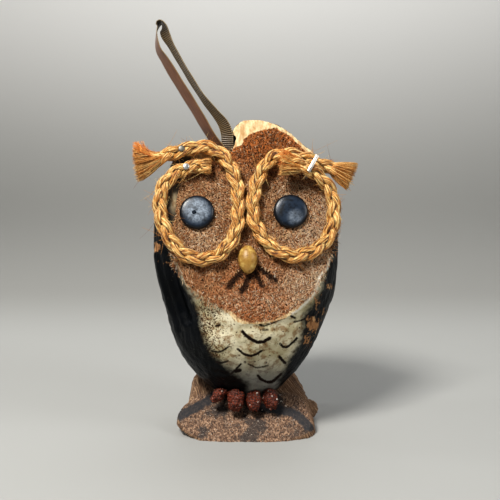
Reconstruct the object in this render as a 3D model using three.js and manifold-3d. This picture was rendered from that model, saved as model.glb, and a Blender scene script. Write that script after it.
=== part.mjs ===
// A folk-craft owl made from a whole dried coconut husk, in millimetres, +Z up.
// The husk stands on its narrow end, glued into a second chunk of husk. One slanted saw cut makes the
// fibrous face. Two plaited ropes are wound round the eyes, and a ribbon stands in a crack of the crown.
// The owl looks along -Y. Left and right are as someone facing the owl sees them.

import * as THREE from 'three';
import { mergeVertices } from 'three/addons/utils/BufferGeometryUtils.js';
import Module from 'manifold-3d';

const wasm = await Module();
wasm.setup();

// Driving dimensions
const GAP = 0.3;                    // clearance kept between pieces that touch
const HUSK_SEGMENTS = 40;
const HUSK_SQUARENESS = 2.06;       // exponent of the husk's horizontal sections, 2 is an ellipse

// Outline of the whole husk from its tip to its crown: height, left, right, front and back limits
const HUSK_STATIONS = [
  [21, 0, 0, -2, -2],
  [22.5, -12, 11, -11, 9],
  [28, -22, 21, -20, 19],
  [37, -34, 32, -29, 31],
  [51, -46, 44, -40, 42],
  [67, -54, 53.5, -49, 50],
  [80, -58, 61, -54, 55],
  [92, -60.5, 66, -56, 58],
  [104, -64, 69, -57, 60],
  [124, -70, 71, -61, 63],
  [148, -71.5, 71.5, -64, 64],
  [174, -69, 68.5, -62, 61],
  [198, -61, 61, -54, 53],
  [213, -55, 54.5, -45, 44],
  [219, -49, 48.5, -38, 38],
  [221.5, -15, 44.5, -34, 35],
  [230, -11.5, 35.5, -26, 28],
  [237, -7.5, 24, -15, 19],
  [240.5, -2, 13, -5, 10],
  [241.5, 5, 5, 3, 3],
];
const CREASE_STATION = 7;           // the belly crease follows this station round the front
const CREASE_DEPTH = 2.4;
const CREASE_WIDTH = 0.2;           // half its width, in stations
const CREASE_AT_SIDES = 0.3;        // share of its depth that is left at the two sides
const CREASE_RISE = 7;              // how much higher the crease runs at the right side than in front
const CREASE_PULL = 1.6;            // stations up and down that follow its rise
const BIB = { direction: -116, height: 108, depth: 3.6, width: 24, reach: 11 };  // dent over the crease

// Folds of the shrunken husk that make the left wing: direction in degrees, depth and half-width
const WING_FOLDS = [
  { direction: -141, depth: 6, width: 7.5 },
  { direction: -159, depth: -1.8, width: 6 },
  { direction: -172, depth: 3, width: 5 },
];
const WING_BOTTOM = 90;
const WING_TOP = 140;
const WING_MIDDLE = -150;           // direction in which the husk's segments are crowded together
const WING_CROWDING = 0.42;

// The saw cut of the face: a plane leaning back, turned a little, through its lowest point
const FACE_FOOT = new THREE.Vector3(3, -55, 97);
const FACE_TILT = 22;
const FACE_YAW = 5;

// The crack beside the crown where the ribbon is tucked in, seen from the front: x and z
const CRACK_OUTLINE = [
  [-20.3, 216.2], [-12.3, 215.4], [-8.8, 222.5], [-6.8, 230], [-2.4, 236], [-3, 236.8], [-8.3, 231],
  [-10.8, 224.5], [-19.2, 223.4],
];
const CRACK_DEPTH = 10;

// The chunk of husk that it stands on
const BASE_OUTLINE = [               // its widest outline, seen from above, from the front to the left
  [2, -51], [-17, -49.5], [-33, -45.5], [-46, -38], [-54, -28], [-54, -19], [-48, -9], [-46, 6], [-46, 22],
  [-36, 38], [-13, 46], [14, 46], [38, 36], [49, 19], [51.5, 2], [52.5, -14], [54, -26], [51, -37], [40, -43],
  [22, -49],
];
const BASE_SEGMENTS = 42;
const BASE_EDGE = 3;                // height of its widest line
const LEFT_TIP = { from: 36, to: 54, rise: 6, undercut: 0.1 };   // where the left end curls up off the ground
const BASE_UNDERCUT = 0.05;         // how far the underside is drawn in from there, as a share
const BASE_RINGS = [1, 0.99, 0.96, 0.9, 0.8, 0.65, 0.45, 0.2];   // rings of the mound, as shares of it
const BASE_SQUARENESS = 20;         // how steeply its sides rise before the top rounds over
const MOUND_HEIGHT = 28;            // height of the mound over the origin
const MOUND_BACK_RISE = 0.42;       // how much it climbs towards the back
const MOUND_LEVEL_FROM = 24;        // it is level behind this
const FLANK = { reach: 60, slope: 1.9 };    // the right side leans in from this far out
const FACET_FOOT = -52.5;           // where the front facet would meet the ground
const FACET_SLOPE = 0.56;
const KNOB = { x: 51.5, y: 4, z: 11, radii: [6.5, 8, 8] };

// Rope plaited from three strands, which swing to both sides and over and under each other
const STRAND_RADIUS = 2.7;
const PLAIT_SWING = 2.7;            // how far a strand's centre swings to either side
const PLAIT_LIFT = 1.9;             // how far it goes over and under the middle
const PLAIT_PITCH = 42;             // length in which a strand comes back to the same side
const PLAIT_CORE = 2.6;             // least radius, where two strands part
const PLAIT_STEP = 4.2;             // length between two rings of the mesh
const ROPE_SIDES = 10;
const ROPE_TOP = 2 * (STRAND_RADIUS + PLAIT_LIFT) + GAP;    // its height over the face it lies on
const ROPE_LIE = STRAND_RADIUS + PLAIT_LIFT + GAP;          // the height of its middle

// Routes of the two ropes on the face: right, up, and height over the face where it isn't ROPE_LIE
const LEFT_ROUTE = [
  [-81, 118], [-72, 119.5], [-60, 125], [-45, 130], [-32, 132], [-20, 128], [-12, 117], [-7, 102],
  [-6.4, 86], [-8, 70], [-14, 57], [-24, 48], [-35, 46], [-47, 50], [-57, 62], [-63, 77], [-64, 90],
  [-61.5, 101], [-54, 110.5], [-44, 115.5], [-35, 117], [-26, 117],
];
const RIGHT_ROUTE = [
  [80, 108], [68, 113.5], [56, 118], [44, 122.8], [32, 126], [22, 124], [13, 114.5], [7, 101], [4.6, 88],
  [5, 75], [10, 63.5], [19, 53], [31, 47.5], [43, 49], [54, 55], [61.5, 65], [65, 79], [64.5, 92],
  [60.5, 101, 6], [54, 107.5, 8.8], [46, 112, 11.6], [36, 114.6, 13.2], [26, 116, 14],
];
// How each rope end opens out: share of the radius in the plane of the face, and off it
const TAIL_FAN = { reach: 22, spread: 2.3, flatten: 0.85 };
const SHORT_FAN = { reach: 12, spread: 1.25, flatten: 1 };
const RAISED_FAN = { reach: 16, spread: 2.2, flatten: 0.62 };

// Eye discs, beak and fastenings, placed on the face by right and up
const EYE_RADIUS = 13;
const EYE_EDGE = 3.2;
const EYE_DOME = 5;
const LEFT_EYE = [-36.8, 82.2];
const RIGHT_EYE = [33.1, 82.2];
const EYE_HOLE = { at: [-39, 81.4], radius: 1.7, floorRadius: 1.2, depth: 2.4 };
const BEAK = { at: [-0.5, 45.2], halfWidth: 7.2, halfHeight: 10.7, halfDepth: 6.5, lift: 4.5, pinch: 0.16 };
const NAIL_HEAD_RADIUS = 2.4;
const NAIL_HEAD_TOP = 1.9;          // radius of the flat on top of a nail head
const NAIL_HEAD_HEIGHT = 1.1;
const NAIL_HEAD_SEAT = ROPE_TOP - 0.6;   // height of its underside over the face: it presses into the rope
const NAIL_SHANK_RADIUS = 1;
const NAIL_JOIN = 0.1;              // how far the shank runs into the head
const NAIL_BITE = 7;                // how deep a nail goes into the husk
const UPPER_NAIL = [-47.5, 129.2];
const LOWER_NAIL = [-44.4, 115.3];
const STAPLE = { top: [53, 121.4], bottom: [45.6, 108.6], crown: 16.4, wire: 2.6, thickness: 1.3, bite: 5 };

// Four toes, each a lump of hardened pile: centre, half sizes and lean to the side in degrees
const TOE_LUMPS = 0.05;             // how uneven they are, as a share of their size
const TOE_PITCH = -12;              // how far they lean back, in degrees
const TOES = [
  { name: 'left_outer_toe', at: [-20.2, -24, 33.2], half: [4.3, 5.8, 9.2], lean: 42 },
  { name: 'left_inner_toe', at: [-7.7, -27, 31], half: [6.9, 6.8, 11.2], lean: 4 },
  { name: 'right_inner_toe', at: [6, -27.5, 29.3], half: [6, 6.3, 9.4], lean: 0 },
  { name: 'right_outer_toe', at: [18.5, -26, 29.2], half: [6, 6, 8.2], lean: -16 },
];

// The hanging ribbon: its centre line, and how far its flat side is turned from the viewer in degrees
const RIBBON_WIDTH = 9.6;
const RIBBON_THICKNESS = 0.9;
const RIBBON_SLACK = 1.1;           // room round the ribbon where it goes into the husk
const RIBBON_ROUTE = [
  [-18.5, 4, 217.5, 42], [-25.3, 4, 226.5, 42], [-38.9, 4, 249.2, 40], [-53.8, 4, 273.2, 42],
  [-61.4, 4, 285.8, 48], [-66, 4, 293.2, 62], [-67.4, 4, 301, 74], [-66.8, 4, 308, 86],
  [-64.4, 3, 312, 100], [-62, 0, 309.5, 128], [-60.2, -1, 304, 138], [-55.6, -1, 295.2, 122],
  [-44, -1, 275.2, 118], [-32.5, -1, 257.4, 120], [-23.1, -1, 245.8, 132], [-17.2, -1, 238, 148],
  [-14.6, -1, 230.5, 160], [-14.2, 0, 224, 160], [-13.6, 1, 217.5, 150],
];

/** A closed mesh that goes into or comes out of the boolean tools holds positions only. */
function toSolid(geometry) {
  const bare = new THREE.BufferGeometry();
  bare.setAttribute('position', geometry.getAttribute('position').clone());
  if (geometry.index) bare.setIndex(geometry.index.clone());
  const merged = mergeVertices(bare, 1e-4);
  return new wasm.Manifold(new wasm.Mesh({
    numProp: 3,
    vertProperties: new Float32Array(merged.getAttribute('position').array),
    triVerts: new Uint32Array(merged.index.array),
  }));
}

function fromSolid(solid) {
  const mesh = solid.getMesh();
  const geometry = new THREE.BufferGeometry();
  geometry.setAttribute('position', new THREE.BufferAttribute(new Float32Array(mesh.vertProperties), 3));
  geometry.setIndex(new THREE.BufferAttribute(new Uint32Array(mesh.triVerts), 1));
  geometry.computeVertexNormals();
  return geometry;
}

/** The main piece of a cut solid, without the crumbs that the cuts leave. */
function largestPiece(solid) {
  return solid.decompose().reduce((best, piece) => (piece.volume() > best.volume() ? piece : best));
}

/** Closed mesh through rings of points that all turn the same way, with a flat fan at each end. */
function closedThroughRings(rings) {
  const sides = rings[0].length;
  const positions = rings.flat().flatMap((point) => point.toArray());
  const indices = [];
  for (let ring = 0; ring + 1 < rings.length; ring += 1) {
    for (let side = 0; side < sides; side += 1) {
      const a = ring * sides + side;
      const b = ring * sides + (side + 1) % sides;
      indices.push(a, b, a + sides, b, b + sides, a + sides);
    }
  }
  const ends = [[0, true], [rings.length - 1, false]];
  for (const [ring, first] of ends) {
    const centre = rings[ring].reduce((sum, point) => sum.add(point), new THREE.Vector3());
    centre.divideScalar(sides);
    const hub = positions.length / 3;
    positions.push(...centre.toArray());
    for (let side = 0; side < sides; side += 1) {
      const a = ring * sides + side;
      const b = ring * sides + (side + 1) % sides;
      indices.push(...(first ? [hub, b, a] : [hub, a, b]));
    }
  }
  const geometry = new THREE.BufferGeometry();
  geometry.setAttribute('position', new THREE.Float32BufferAttribute(positions, 3));
  geometry.setIndex(indices);
  return geometry;
}

/** A bell-shaped bump of height 1 at 0 that has faded out at about twice the width. */
function bump(distance, width) {
  return Math.exp(-((distance / width) ** 2));
}

/** 0 below the low end, 1 above the high end and smooth between them. */
function fade(value, low, high) {
  return THREE.MathUtils.smoothstep(value, low, high);
}

/** Superellipse point: the unit direction squared off by the exponent. */
function squared(value, exponent) {
  return Math.sign(value) * Math.abs(value) ** (2 / exponent);
}

/** Value of one column of the husk's stations at a fractional station number. */
function stationValue(place, column) {
  const last = HUSK_STATIONS.length - 1;
  const at = (index) => HUSK_STATIONS[THREE.MathUtils.clamp(index, 0, last)][column];
  const start = Math.min(Math.floor(place), last - 1);
  const t = place - start;
  const [before, from, to, after] = [at(start - 1), at(start), at(start + 1), at(start + 2)];
  const leave = (to - before) / 2;
  const arrive = (after - from) / 2;
  return from * (2 * t ** 3 - 3 * t ** 2 + 1) + leave * (t ** 3 - 2 * t ** 2 + t)
    + to * (3 * t ** 2 - 2 * t ** 3) + arrive * (t ** 3 - t ** 2);
}

/** Rings of the husk: two to a station, and four next to the crease. */
function huskPlaces() {
  const places = [];
  for (let station = 0; station < HUSK_STATIONS.length - 1; station += 1) {
    const nearCrease = station === CREASE_STATION - 1 || station === CREASE_STATION;
    const steps = nearCrease ? 4 : 2;
    for (let step = 0; step < steps; step += 1) places.push(station + step / steps);
  }
  return places;
}

/** Directions round the husk, crowded together where the left wing is folded. */
function huskDirections() {
  const directions = [];
  for (let segment = 0; segment < HUSK_SEGMENTS; segment += 1) {
    const even = (segment / HUSK_SEGMENTS) * 2 * Math.PI;
    const fromWing = even - THREE.MathUtils.degToRad(WING_MIDDLE);
    directions.push(even - WING_CROWDING * Math.sin(fromWing));
  }
  return directions;
}

/** Degrees from a compass direction given in degrees to one given in radians. */
function angleBetween(radians, degrees) {
  const turn = radians - THREE.MathUtils.degToRad(degrees);
  return THREE.MathUtils.radToDeg(Math.atan2(Math.sin(turn), Math.cos(turn)));
}

/** How far the shrunken husk lies inside or outside its plain outline. */
function huskRelief(direction, place, height) {
  const towardsFront = -Math.sin(direction);
  const front = CREASE_AT_SIDES + (1 - CREASE_AT_SIDES) * fade(towardsFront, 0.2, 0.8);
  const creased = front * fade(towardsFront, -0.3, 0.1);
  let relief = -CREASE_DEPTH * creased * bump(place - CREASE_STATION, CREASE_WIDTH);
  const fromBib = angleBetween(direction, BIB.direction);
  relief -= BIB.depth * bump(fromBib, BIB.width) * bump(height - BIB.height, BIB.reach);
  const overBottom = fade(height, WING_BOTTOM, WING_BOTTOM + 18);
  const inWing = overBottom * (1 - fade(height, WING_TOP - 12, WING_TOP + 12));
  for (const fold of WING_FOLDS) {
    relief -= fold.depth * inWing * bump(angleBetween(direction, fold.direction), fold.width);
  }
  return relief;
}

/** The uncut husk, grown all round by a clearance. */
function wholeHusk(grow) {
  const rings = huskPlaces().slice(1).map((place) => {
    const [height, left, right, front, back] = [0, 1, 2, 3, 4].map((column) => stationValue(place, column));
    return huskDirections().map((direction) => {
      const across = squared(Math.cos(direction), HUSK_SQUARENESS);
      const along = squared(Math.sin(direction), HUSK_SQUARENESS);
      const nearCrease = bump(place - CREASE_STATION, CREASE_PULL);
      const rise = nearCrease * (1 + CREASE_RISE * across);
      const relief = grow + huskRelief(direction, place, height);
      const x = (left + right) / 2 + ((right - left) / 2 + relief) * across;
      const y = (front + back) / 2 + ((back - front) / 2 + relief) * along;
      const down = place < 3 ? grow : 0;
      return new THREE.Vector3(x, y, height + rise - down);
    });
  });
  return toSolid(closedThroughRings(rings));
}

/** Frame of the face: x to the right, y up along the cut and z out of it. */
function faceMatrix() {
  const outward = new THREE.Vector3(0, -1, 0)
    .applyAxisAngle(new THREE.Vector3(1, 0, 0), THREE.MathUtils.degToRad(-FACE_TILT))
    .applyAxisAngle(new THREE.Vector3(0, 0, 1), THREE.MathUtils.degToRad(FACE_YAW));
  const rightward = new THREE.Vector3(1, 0, 0)
    .applyAxisAngle(new THREE.Vector3(0, 0, 1), THREE.MathUtils.degToRad(FACE_YAW));
  const upward = new THREE.Vector3().crossVectors(outward, rightward);
  return new THREE.Matrix4().makeBasis(rightward, upward, outward).setPosition(FACE_FOOT);
}

/** Moves a geometry from the frame of the face into the frame of the owl. */
function onFace(geometry) {
  return geometry.applyMatrix4(faceMatrix());
}

/** Everything in front of the saw cut. */
function inFrontOfFace() {
  const size = 400;
  const block = new THREE.BoxGeometry(size, size, size);
  block.translate(0, 0, size / 2);
  return toSolid(onFace(block));
}

/** The crack, as a blade that reaches back from the face. */
function crackBlade() {
  const shape = new THREE.Shape(CRACK_OUTLINE.map(([x, z]) => new THREE.Vector2(x, z)));
  const blade = new THREE.ExtrudeGeometry(shape, { depth: 2 * CRACK_DEPTH, bevelEnabled: false });
  blade.rotateX(Math.PI / 2);
  blade.translate(0, CRACK_DEPTH, 0);
  return toSolid(blade);
}

/** A round nail head on the rope, with its shank through the rope into the husk, grown by a clearance. */
function nail(at, grow) {
  const height = NAIL_HEAD_HEIGHT + 2 * grow;
  const head = new THREE.CylinderGeometry(NAIL_HEAD_TOP + grow, NAIL_HEAD_RADIUS + grow, height, 14);
  head.rotateX(Math.PI / 2);
  head.translate(at[0], at[1], NAIL_HEAD_SEAT + NAIL_HEAD_HEIGHT / 2);
  const radius = NAIL_SHANK_RADIUS + grow;
  const length = NAIL_HEAD_SEAT + NAIL_BITE + grow;
  const shank = new THREE.CylinderGeometry(radius, radius, length, 8);
  shank.rotateX(Math.PI / 2);
  shank.translate(at[0], at[1], NAIL_HEAD_SEAT + NAIL_JOIN - length / 2);
  return toSolid(onFace(head)).add(toSolid(onFace(shank)));
}

function huskBody() {
  let body = wholeHusk(0).subtract(inFrontOfFace()).subtract(crackBlade()).subtract(ribbonLoop(RIBBON_SLACK));
  for (const at of [UPPER_NAIL, LOWER_NAIL]) {
    body = body.subtract(nail(at, GAP));
  }
  return largestPiece(body.subtract(browStaple(GAP)));
}

/** Height of the mound over a point of the base, before the edge rounds it off. */
function moundHeight(x, y) {
  const climb = MOUND_HEIGHT + MOUND_BACK_RISE * Math.min(y, MOUND_LEVEL_FROM);
  return Math.min(climb, FLANK.slope * (FLANK.reach - x));
}

/** The chunk of husk, before the facet is cut and the owl is set in. */
function baseMound(grow) {
  const outline = new THREE.CatmullRomCurve3(
    BASE_OUTLINE.map(([x, y]) => new THREE.Vector3(x, y, 0)), true, 'centripetal');
  const edge = outline.getSpacedPoints(BASE_SEGMENTS).slice(0, BASE_SEGMENTS).reverse();
  const atTip = edge.map((point) => fade(-point.x, LEFT_TIP.from, LEFT_TIP.to));
  const underside = edge.map((point, index) => {
    const reach = 1 - BASE_UNDERCUT - LEFT_TIP.undercut * atTip[index];
    return new THREE.Vector3(point.x * reach, point.y * reach, 0);
  });
  const rings = [underside];
  for (const share of BASE_RINGS) {
    const rounding = (1 - share ** BASE_SQUARENESS) ** 0.5;
    rings.push(edge.map((point, index) => {
      const reach = share * (1 + grow / point.length());
      const [x, y] = [point.x * reach, point.y * reach];
      const foot = BASE_EDGE + LEFT_TIP.rise * atTip[index];
      return new THREE.Vector3(x, y, foot + grow + (moundHeight(x, y) - foot) * rounding);
    }));
  }
  return toSolid(closedThroughRings(rings));
}

/** Everything over the base's slanted front facet. */
function overFacet(grow) {
  const size = 400;
  const block = new THREE.BoxGeometry(size, size, size);
  block.translate(0, 0, size / 2);
  block.rotateX(Math.atan(FACET_SLOPE));
  block.translate(0, FACET_FOOT - grow, 0);
  return toSolid(block);
}

/** The small rolled knob on the right side of the base. */
function baseKnob(grow) {
  const knob = new THREE.SphereGeometry(1, 10, 7);
  knob.scale(...KNOB.radii.map((radius) => radius + grow));
  knob.translate(KNOB.x, KNOB.y, KNOB.z);
  return toSolid(knob);
}

function baseBlank(grow) {
  return baseMound(grow).add(baseKnob(grow)).subtract(overFacet(grow));
}

function huskBase() {
  return baseBlank(0).subtract(wholeHusk(GAP));
}

/** Smooth route on or over the face, through its hand-chosen points. */
function faceRoute(points) {
  const route = points.map(([right, up, over = ROPE_LIE]) => new THREE.Vector3(right, up, over));
  return new THREE.CatmullRomCurve3(route, false, 'centripetal');
}

/** How wide and how flat a rope is at a distance from one of its ends. */
function fanShape(distance, fan) {
  const open = 1 - fade(distance, 0, fan.reach);
  return { wide: 1 + (fan.spread - 1) * open, flat: 1 + (fan.flatten - 1) * open };
}

/** Reach of the plait's surface from its middle in one direction across it, at a phase of the plait. */
function plaitReach(angle, phase) {
  let reach = PLAIT_CORE;
  for (let strand = 0; strand < 3; strand += 1) {
    const swing = phase + strand / 3 * 2 * Math.PI;
    const x = PLAIT_SWING * Math.sin(swing);
    const z = -PLAIT_LIFT * Math.sin(2 * swing);
    const towards = x * Math.cos(angle) + z * Math.sin(angle);
    const inside = STRAND_RADIUS ** 2 - x * x - z * z + towards * towards;
    if (inside > 0) reach = Math.max(reach, towards + Math.sqrt(inside));
  }
  return reach;
}

/** A plaited rope along a route, opened into a fan at both ends. */
function ropeGeometry(points, startFan, endFan) {
  const route = faceRoute(points);
  const length = route.getLength();
  const steps = Math.round(length / PLAIT_STEP);
  const rings = [];
  for (let step = 0; step <= steps; step += 1) {
    const centre = route.getPointAt(step / steps);
    const along = route.getTangentAt(step / steps);
    const off = new THREE.Vector3(0, 0, 1).addScaledVector(along, -along.z).normalize();
    const side = new THREE.Vector3().crossVectors(off, along);
    const start = fanShape(length * step / steps, startFan);
    const end = fanShape(length * (1 - step / steps), endFan);
    const wide = start.wide * end.wide;
    const flat = start.flat * end.flat;
    const phase = length * step / steps / PLAIT_PITCH * 2 * Math.PI;
    const ring = [];
    for (let spoke = 0; spoke < ROPE_SIDES; spoke += 1) {
      const angle = spoke / ROPE_SIDES * 2 * Math.PI;
      const reach = plaitReach(angle, phase);
      ring.push(centre.clone()
        .addScaledVector(side, wide * reach * Math.cos(angle))
        .addScaledVector(off, flat * reach * Math.sin(angle)));
    }
    rings.push(ring);
  }
  return onFace(closedThroughRings(rings));
}

function leftEyeRope() {
  const rope = toSolid(ropeGeometry(LEFT_ROUTE, TAIL_FAN, SHORT_FAN));
  return rope.subtract(nail(UPPER_NAIL, GAP)).subtract(nail(LOWER_NAIL, GAP));
}

function rightEyeRope() {
  return toSolid(ropeGeometry(RIGHT_ROUTE, TAIL_FAN, RAISED_FAN)).subtract(browStaple(GAP));
}

/** A low domed disc with a rolled edge, lying on the face. */
function eyeDisc([right, up]) {
  const profile = [
    [0, GAP], [EYE_RADIUS - 1.4, GAP], [EYE_RADIUS - 0.3, EYE_EDGE * 0.3], [EYE_RADIUS, EYE_EDGE * 0.6],
    [EYE_RADIUS - 0.6, EYE_EDGE * 0.95], [EYE_RADIUS - 2, EYE_EDGE + 0.7], [EYE_RADIUS * 0.5, EYE_DOME - 0.3],
    [0, EYE_DOME],
  ];
  const disc = new THREE.LatheGeometry(profile.map(([x, y]) => new THREE.Vector2(x, y)), 20);
  disc.rotateX(Math.PI / 2);
  disc.translate(right, up, 0);
  return toSolid(onFace(disc));
}

/** The small hole where the left eye is pinned. */
function eyeHole() {
  const hole = new THREE.CylinderGeometry(EYE_HOLE.radius, EYE_HOLE.floorRadius, EYE_HOLE.depth * 2, 10);
  hole.rotateX(Math.PI / 2);
  hole.translate(EYE_HOLE.at[0], EYE_HOLE.at[1], EYE_DOME);
  return toSolid(onFace(hole));
}

/** A pale seed set upright on the face, blunt above and a little pointed below. */
function beakSeed() {
  const seed = new THREE.SphereGeometry(1, 14, 10);
  const position = seed.getAttribute('position');
  for (let i = 0; i < position.count; i += 1) {
    const up = position.getY(i);
    const pinch = 1 - BEAK.pinch * fade(-up, 0, 1);
    position.setXYZ(i, position.getX(i) * pinch, up, position.getZ(i) * pinch);
  }
  seed.scale(BEAK.halfWidth, BEAK.halfHeight, BEAK.halfDepth);
  seed.translate(BEAK.at[0], BEAK.at[1], BEAK.lift);
  const size = 60;
  const behind = new THREE.BoxGeometry(size, size, size);
  behind.translate(0, BEAK.at[1], GAP - size / 2);
  return toSolid(onFace(seed)).subtract(toSolid(onFace(behind)));
}

/** A flat metal staple through both turns of the right rope into the husk, grown by a clearance. */
function browStaple(grow) {
  const top = new THREE.Vector2(...STAPLE.top);
  const bottom = new THREE.Vector2(...STAPLE.bottom);
  const span = top.distanceTo(bottom) + grow;
  const inside = STAPLE.thickness + grow;
  const point = -STAPLE.bite - grow;
  const crown = STAPLE.crown + grow;
  const under = STAPLE.crown - STAPLE.thickness - grow;
  const outline = new THREE.Shape([
    [-grow, point], [inside, point], [inside, under], [span - inside, under], [span - inside, point],
    [span, point], [span, crown], [-grow, crown],
  ].map(([along, over]) => new THREE.Vector2(along, over)));
  const wire = STAPLE.wire + 2 * grow;
  const staple = new THREE.ExtrudeGeometry(outline, { depth: wire, bevelEnabled: false });
  staple.translate(0, 0, -wire / 2);
  staple.rotateX(Math.PI / 2);
  staple.rotateZ(Math.atan2(bottom.y - top.y, bottom.x - top.x));
  staple.translate(top.x, top.y, 0);
  return toSolid(onFace(staple));
}

/** One toe, cut back where it lies on the owl's foot and on the base. */
function toe({ at, half, lean }) {
  const lump = new THREE.SphereGeometry(1, 11, 8);
  lump.rotateX(Math.PI / 2);
  const position = lump.getAttribute('position');
  for (let i = 0; i < position.count; i += 1) {
    const [x, y, z] = [position.getX(i), position.getY(i), position.getZ(i)];
    const lumpy = 1 + TOE_LUMPS * Math.sin(5 * x + 3 * z + at[0]) * Math.cos(4 * z + 2 * y);
    position.setXYZ(i, x * lumpy, y * lumpy, z * lumpy);
  }
  lump.scale(...half);
  lump.rotateY(THREE.MathUtils.degToRad(lean));
  lump.rotateX(THREE.MathUtils.degToRad(TOE_PITCH));
  lump.translate(...at);
  return toSolid(lump).subtract(wholeHusk(GAP)).subtract(baseBlank(GAP));
}

/** The ribbon: a flat strip along its route, grown all round by a clearance. */
function ribbonLoop(grow) {
  const points = RIBBON_ROUTE.map(([x, y, z]) => new THREE.Vector3(x, y, z));
  const turns = RIBBON_ROUTE.map((point, index) => new THREE.Vector3(index, point[3], 0));
  const rings = [];
  const route = new THREE.CatmullRomCurve3(points, false, 'centripetal');
  const turning = new THREE.CatmullRomCurve3(turns, false, 'centripetal');
  const steps = 2 * (points.length - 1);
  const towardsBack = new THREE.Vector3(0, 1, 0);
  for (let step = 0; step <= steps; step += 1) {
    const along = route.getTangent(step / steps);
    const facing = new THREE.Vector3().crossVectors(along, towardsBack).normalize();
    const edgeOn = new THREE.Vector3().crossVectors(facing, along).normalize();
    const turn = THREE.MathUtils.degToRad(turning.getPoint(step / steps).y);
    const across = facing.multiplyScalar(Math.cos(turn)).addScaledVector(edgeOn, Math.sin(turn));
    const off = new THREE.Vector3().crossVectors(along, across);
    const past = step === 0 ? -grow : grow * (step === steps);
    const corners = [[-1, -1], [1, -1], [1, 1], [-1, 1]];
    rings.push(corners.map(([wide, thick]) => route.getPoint(step / steps)
      .addScaledVector(along, past)
      .addScaledVector(across, wide * (RIBBON_WIDTH / 2 + grow))
      .addScaledVector(off, thick * (RIBBON_THICKNESS / 2 + grow))));
  }
  return toSolid(closedThroughRings(rings));
}

const paintedHusk = new THREE.MeshStandardMaterial({ color: 0x8c6c52, roughness: 0.6, metalness: 0 });
const bareHusk = new THREE.MeshStandardMaterial({ color: 0x8a6a4c, roughness: 0.9, metalness: 0 });
const rope = new THREE.MeshStandardMaterial({ color: 0xd6965a, roughness: 0.8, metalness: 0 });
const dullBlack = new THREE.MeshStandardMaterial({ color: 0x28344a, roughness: 0.5, metalness: 0 });
const seed = new THREE.MeshStandardMaterial({ color: 0xd7b96e, roughness: 0.35, metalness: 0 });
const steel = new THREE.MeshStandardMaterial({ color: 0xb8b8b4, roughness: 0.35, metalness: 0.9 });
const ribbon = new THREE.MeshStandardMaterial({ color: 0x5f3f28, roughness: 0.5, metalness: 0 });
const toePile = new THREE.MeshStandardMaterial({ color: 0x782314, roughness: 0.3, metalness: 0 });

const owl = new THREE.Group();

function addPiece(name, solid, material) {
  const mesh = new THREE.Mesh(fromSolid(solid), material);
  mesh.name = name;
  owl.add(mesh);
}

addPiece('husk_body', huskBody(), paintedHusk);
addPiece('husk_base', huskBase(), bareHusk);
addPiece('left_eye_rope', leftEyeRope(), rope);
addPiece('right_eye_rope', rightEyeRope(), rope);
addPiece('left_eye_disc', eyeDisc(LEFT_EYE).subtract(eyeHole()), dullBlack);
addPiece('right_eye_disc', eyeDisc(RIGHT_EYE), dullBlack);
addPiece('beak_seed', beakSeed(), seed);
addPiece('upper_brow_nail', nail(UPPER_NAIL, 0), steel);
addPiece('lower_brow_nail', nail(LOWER_NAIL, 0), steel);
addPiece('brow_staple', browStaple(0), steel);
for (const lump of TOES) addPiece(lump.name, toe(lump), toePile);

// The origin is under the middle of everything but the ribbon, which stands free
const middle = new THREE.Box3().setFromObject(owl).getCenter(new THREE.Vector3());
owl.position.set(-middle.x, -middle.y, 0);
addPiece('ribbon_loop', ribbonLoop(0), ribbon);

export default owl;
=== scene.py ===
"""A folk-craft owl made from a whole dried coconut husk, with plaited rope round its eyes and a ribbon in its crown.

Lengths are in metres unless a name or a comment says mm. The owl looks along -Y, and left and right are as
someone facing it sees them.
"""

import math
import random

import bpy
import numpy as np
from mathutils import Matrix, Vector, noise
from mathutils.bvhtree import BVHTree


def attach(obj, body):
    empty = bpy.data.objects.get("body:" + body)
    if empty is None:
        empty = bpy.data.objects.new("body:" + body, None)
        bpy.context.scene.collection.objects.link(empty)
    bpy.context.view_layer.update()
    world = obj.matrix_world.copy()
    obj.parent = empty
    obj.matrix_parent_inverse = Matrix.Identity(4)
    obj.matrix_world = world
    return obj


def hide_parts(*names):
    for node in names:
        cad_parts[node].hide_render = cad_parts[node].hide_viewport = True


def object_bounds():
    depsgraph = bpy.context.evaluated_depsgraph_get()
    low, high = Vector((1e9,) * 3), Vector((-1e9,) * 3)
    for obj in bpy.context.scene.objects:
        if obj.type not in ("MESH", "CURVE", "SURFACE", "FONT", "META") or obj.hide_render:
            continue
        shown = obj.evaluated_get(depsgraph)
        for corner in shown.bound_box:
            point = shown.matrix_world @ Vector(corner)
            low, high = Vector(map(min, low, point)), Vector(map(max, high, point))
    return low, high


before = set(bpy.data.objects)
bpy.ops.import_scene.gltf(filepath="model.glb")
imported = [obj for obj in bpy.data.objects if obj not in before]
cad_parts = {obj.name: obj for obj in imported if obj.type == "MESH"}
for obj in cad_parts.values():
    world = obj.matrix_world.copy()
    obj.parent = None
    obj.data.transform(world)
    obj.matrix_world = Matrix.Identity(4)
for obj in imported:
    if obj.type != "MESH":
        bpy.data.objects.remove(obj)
cad_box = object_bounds()
random.seed(7)
chance = np.random.RandomState(11)

MM = 0.001
ORIGIN_SHIFT = Vector((-0.190, -4.291, 0))      # from the drawing's origin to the middle of the owl, in mm

# The sawn face: its foot in mm, and how it leans back and turns
FACE_FOOT = Vector((3, -55, 97)) + ORIGIN_SHIFT
FACE_TILT = math.radians(22)
FACE_YAW = math.radians(5)

# The viewpoint, and its focal length in pixels of a frame 500 wide
VIEWPOINT = Vector((0.00277, -0.6949, 0.2504))
VIEW_DOWN = math.radians(9)
FRAME_WIDTH = 500
FOCAL = 900
PIXEL = 0.75        # mm on the owl
STRAY = 1.5 * MM    # how far a loose fibre may stand out of the owl's box


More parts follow.
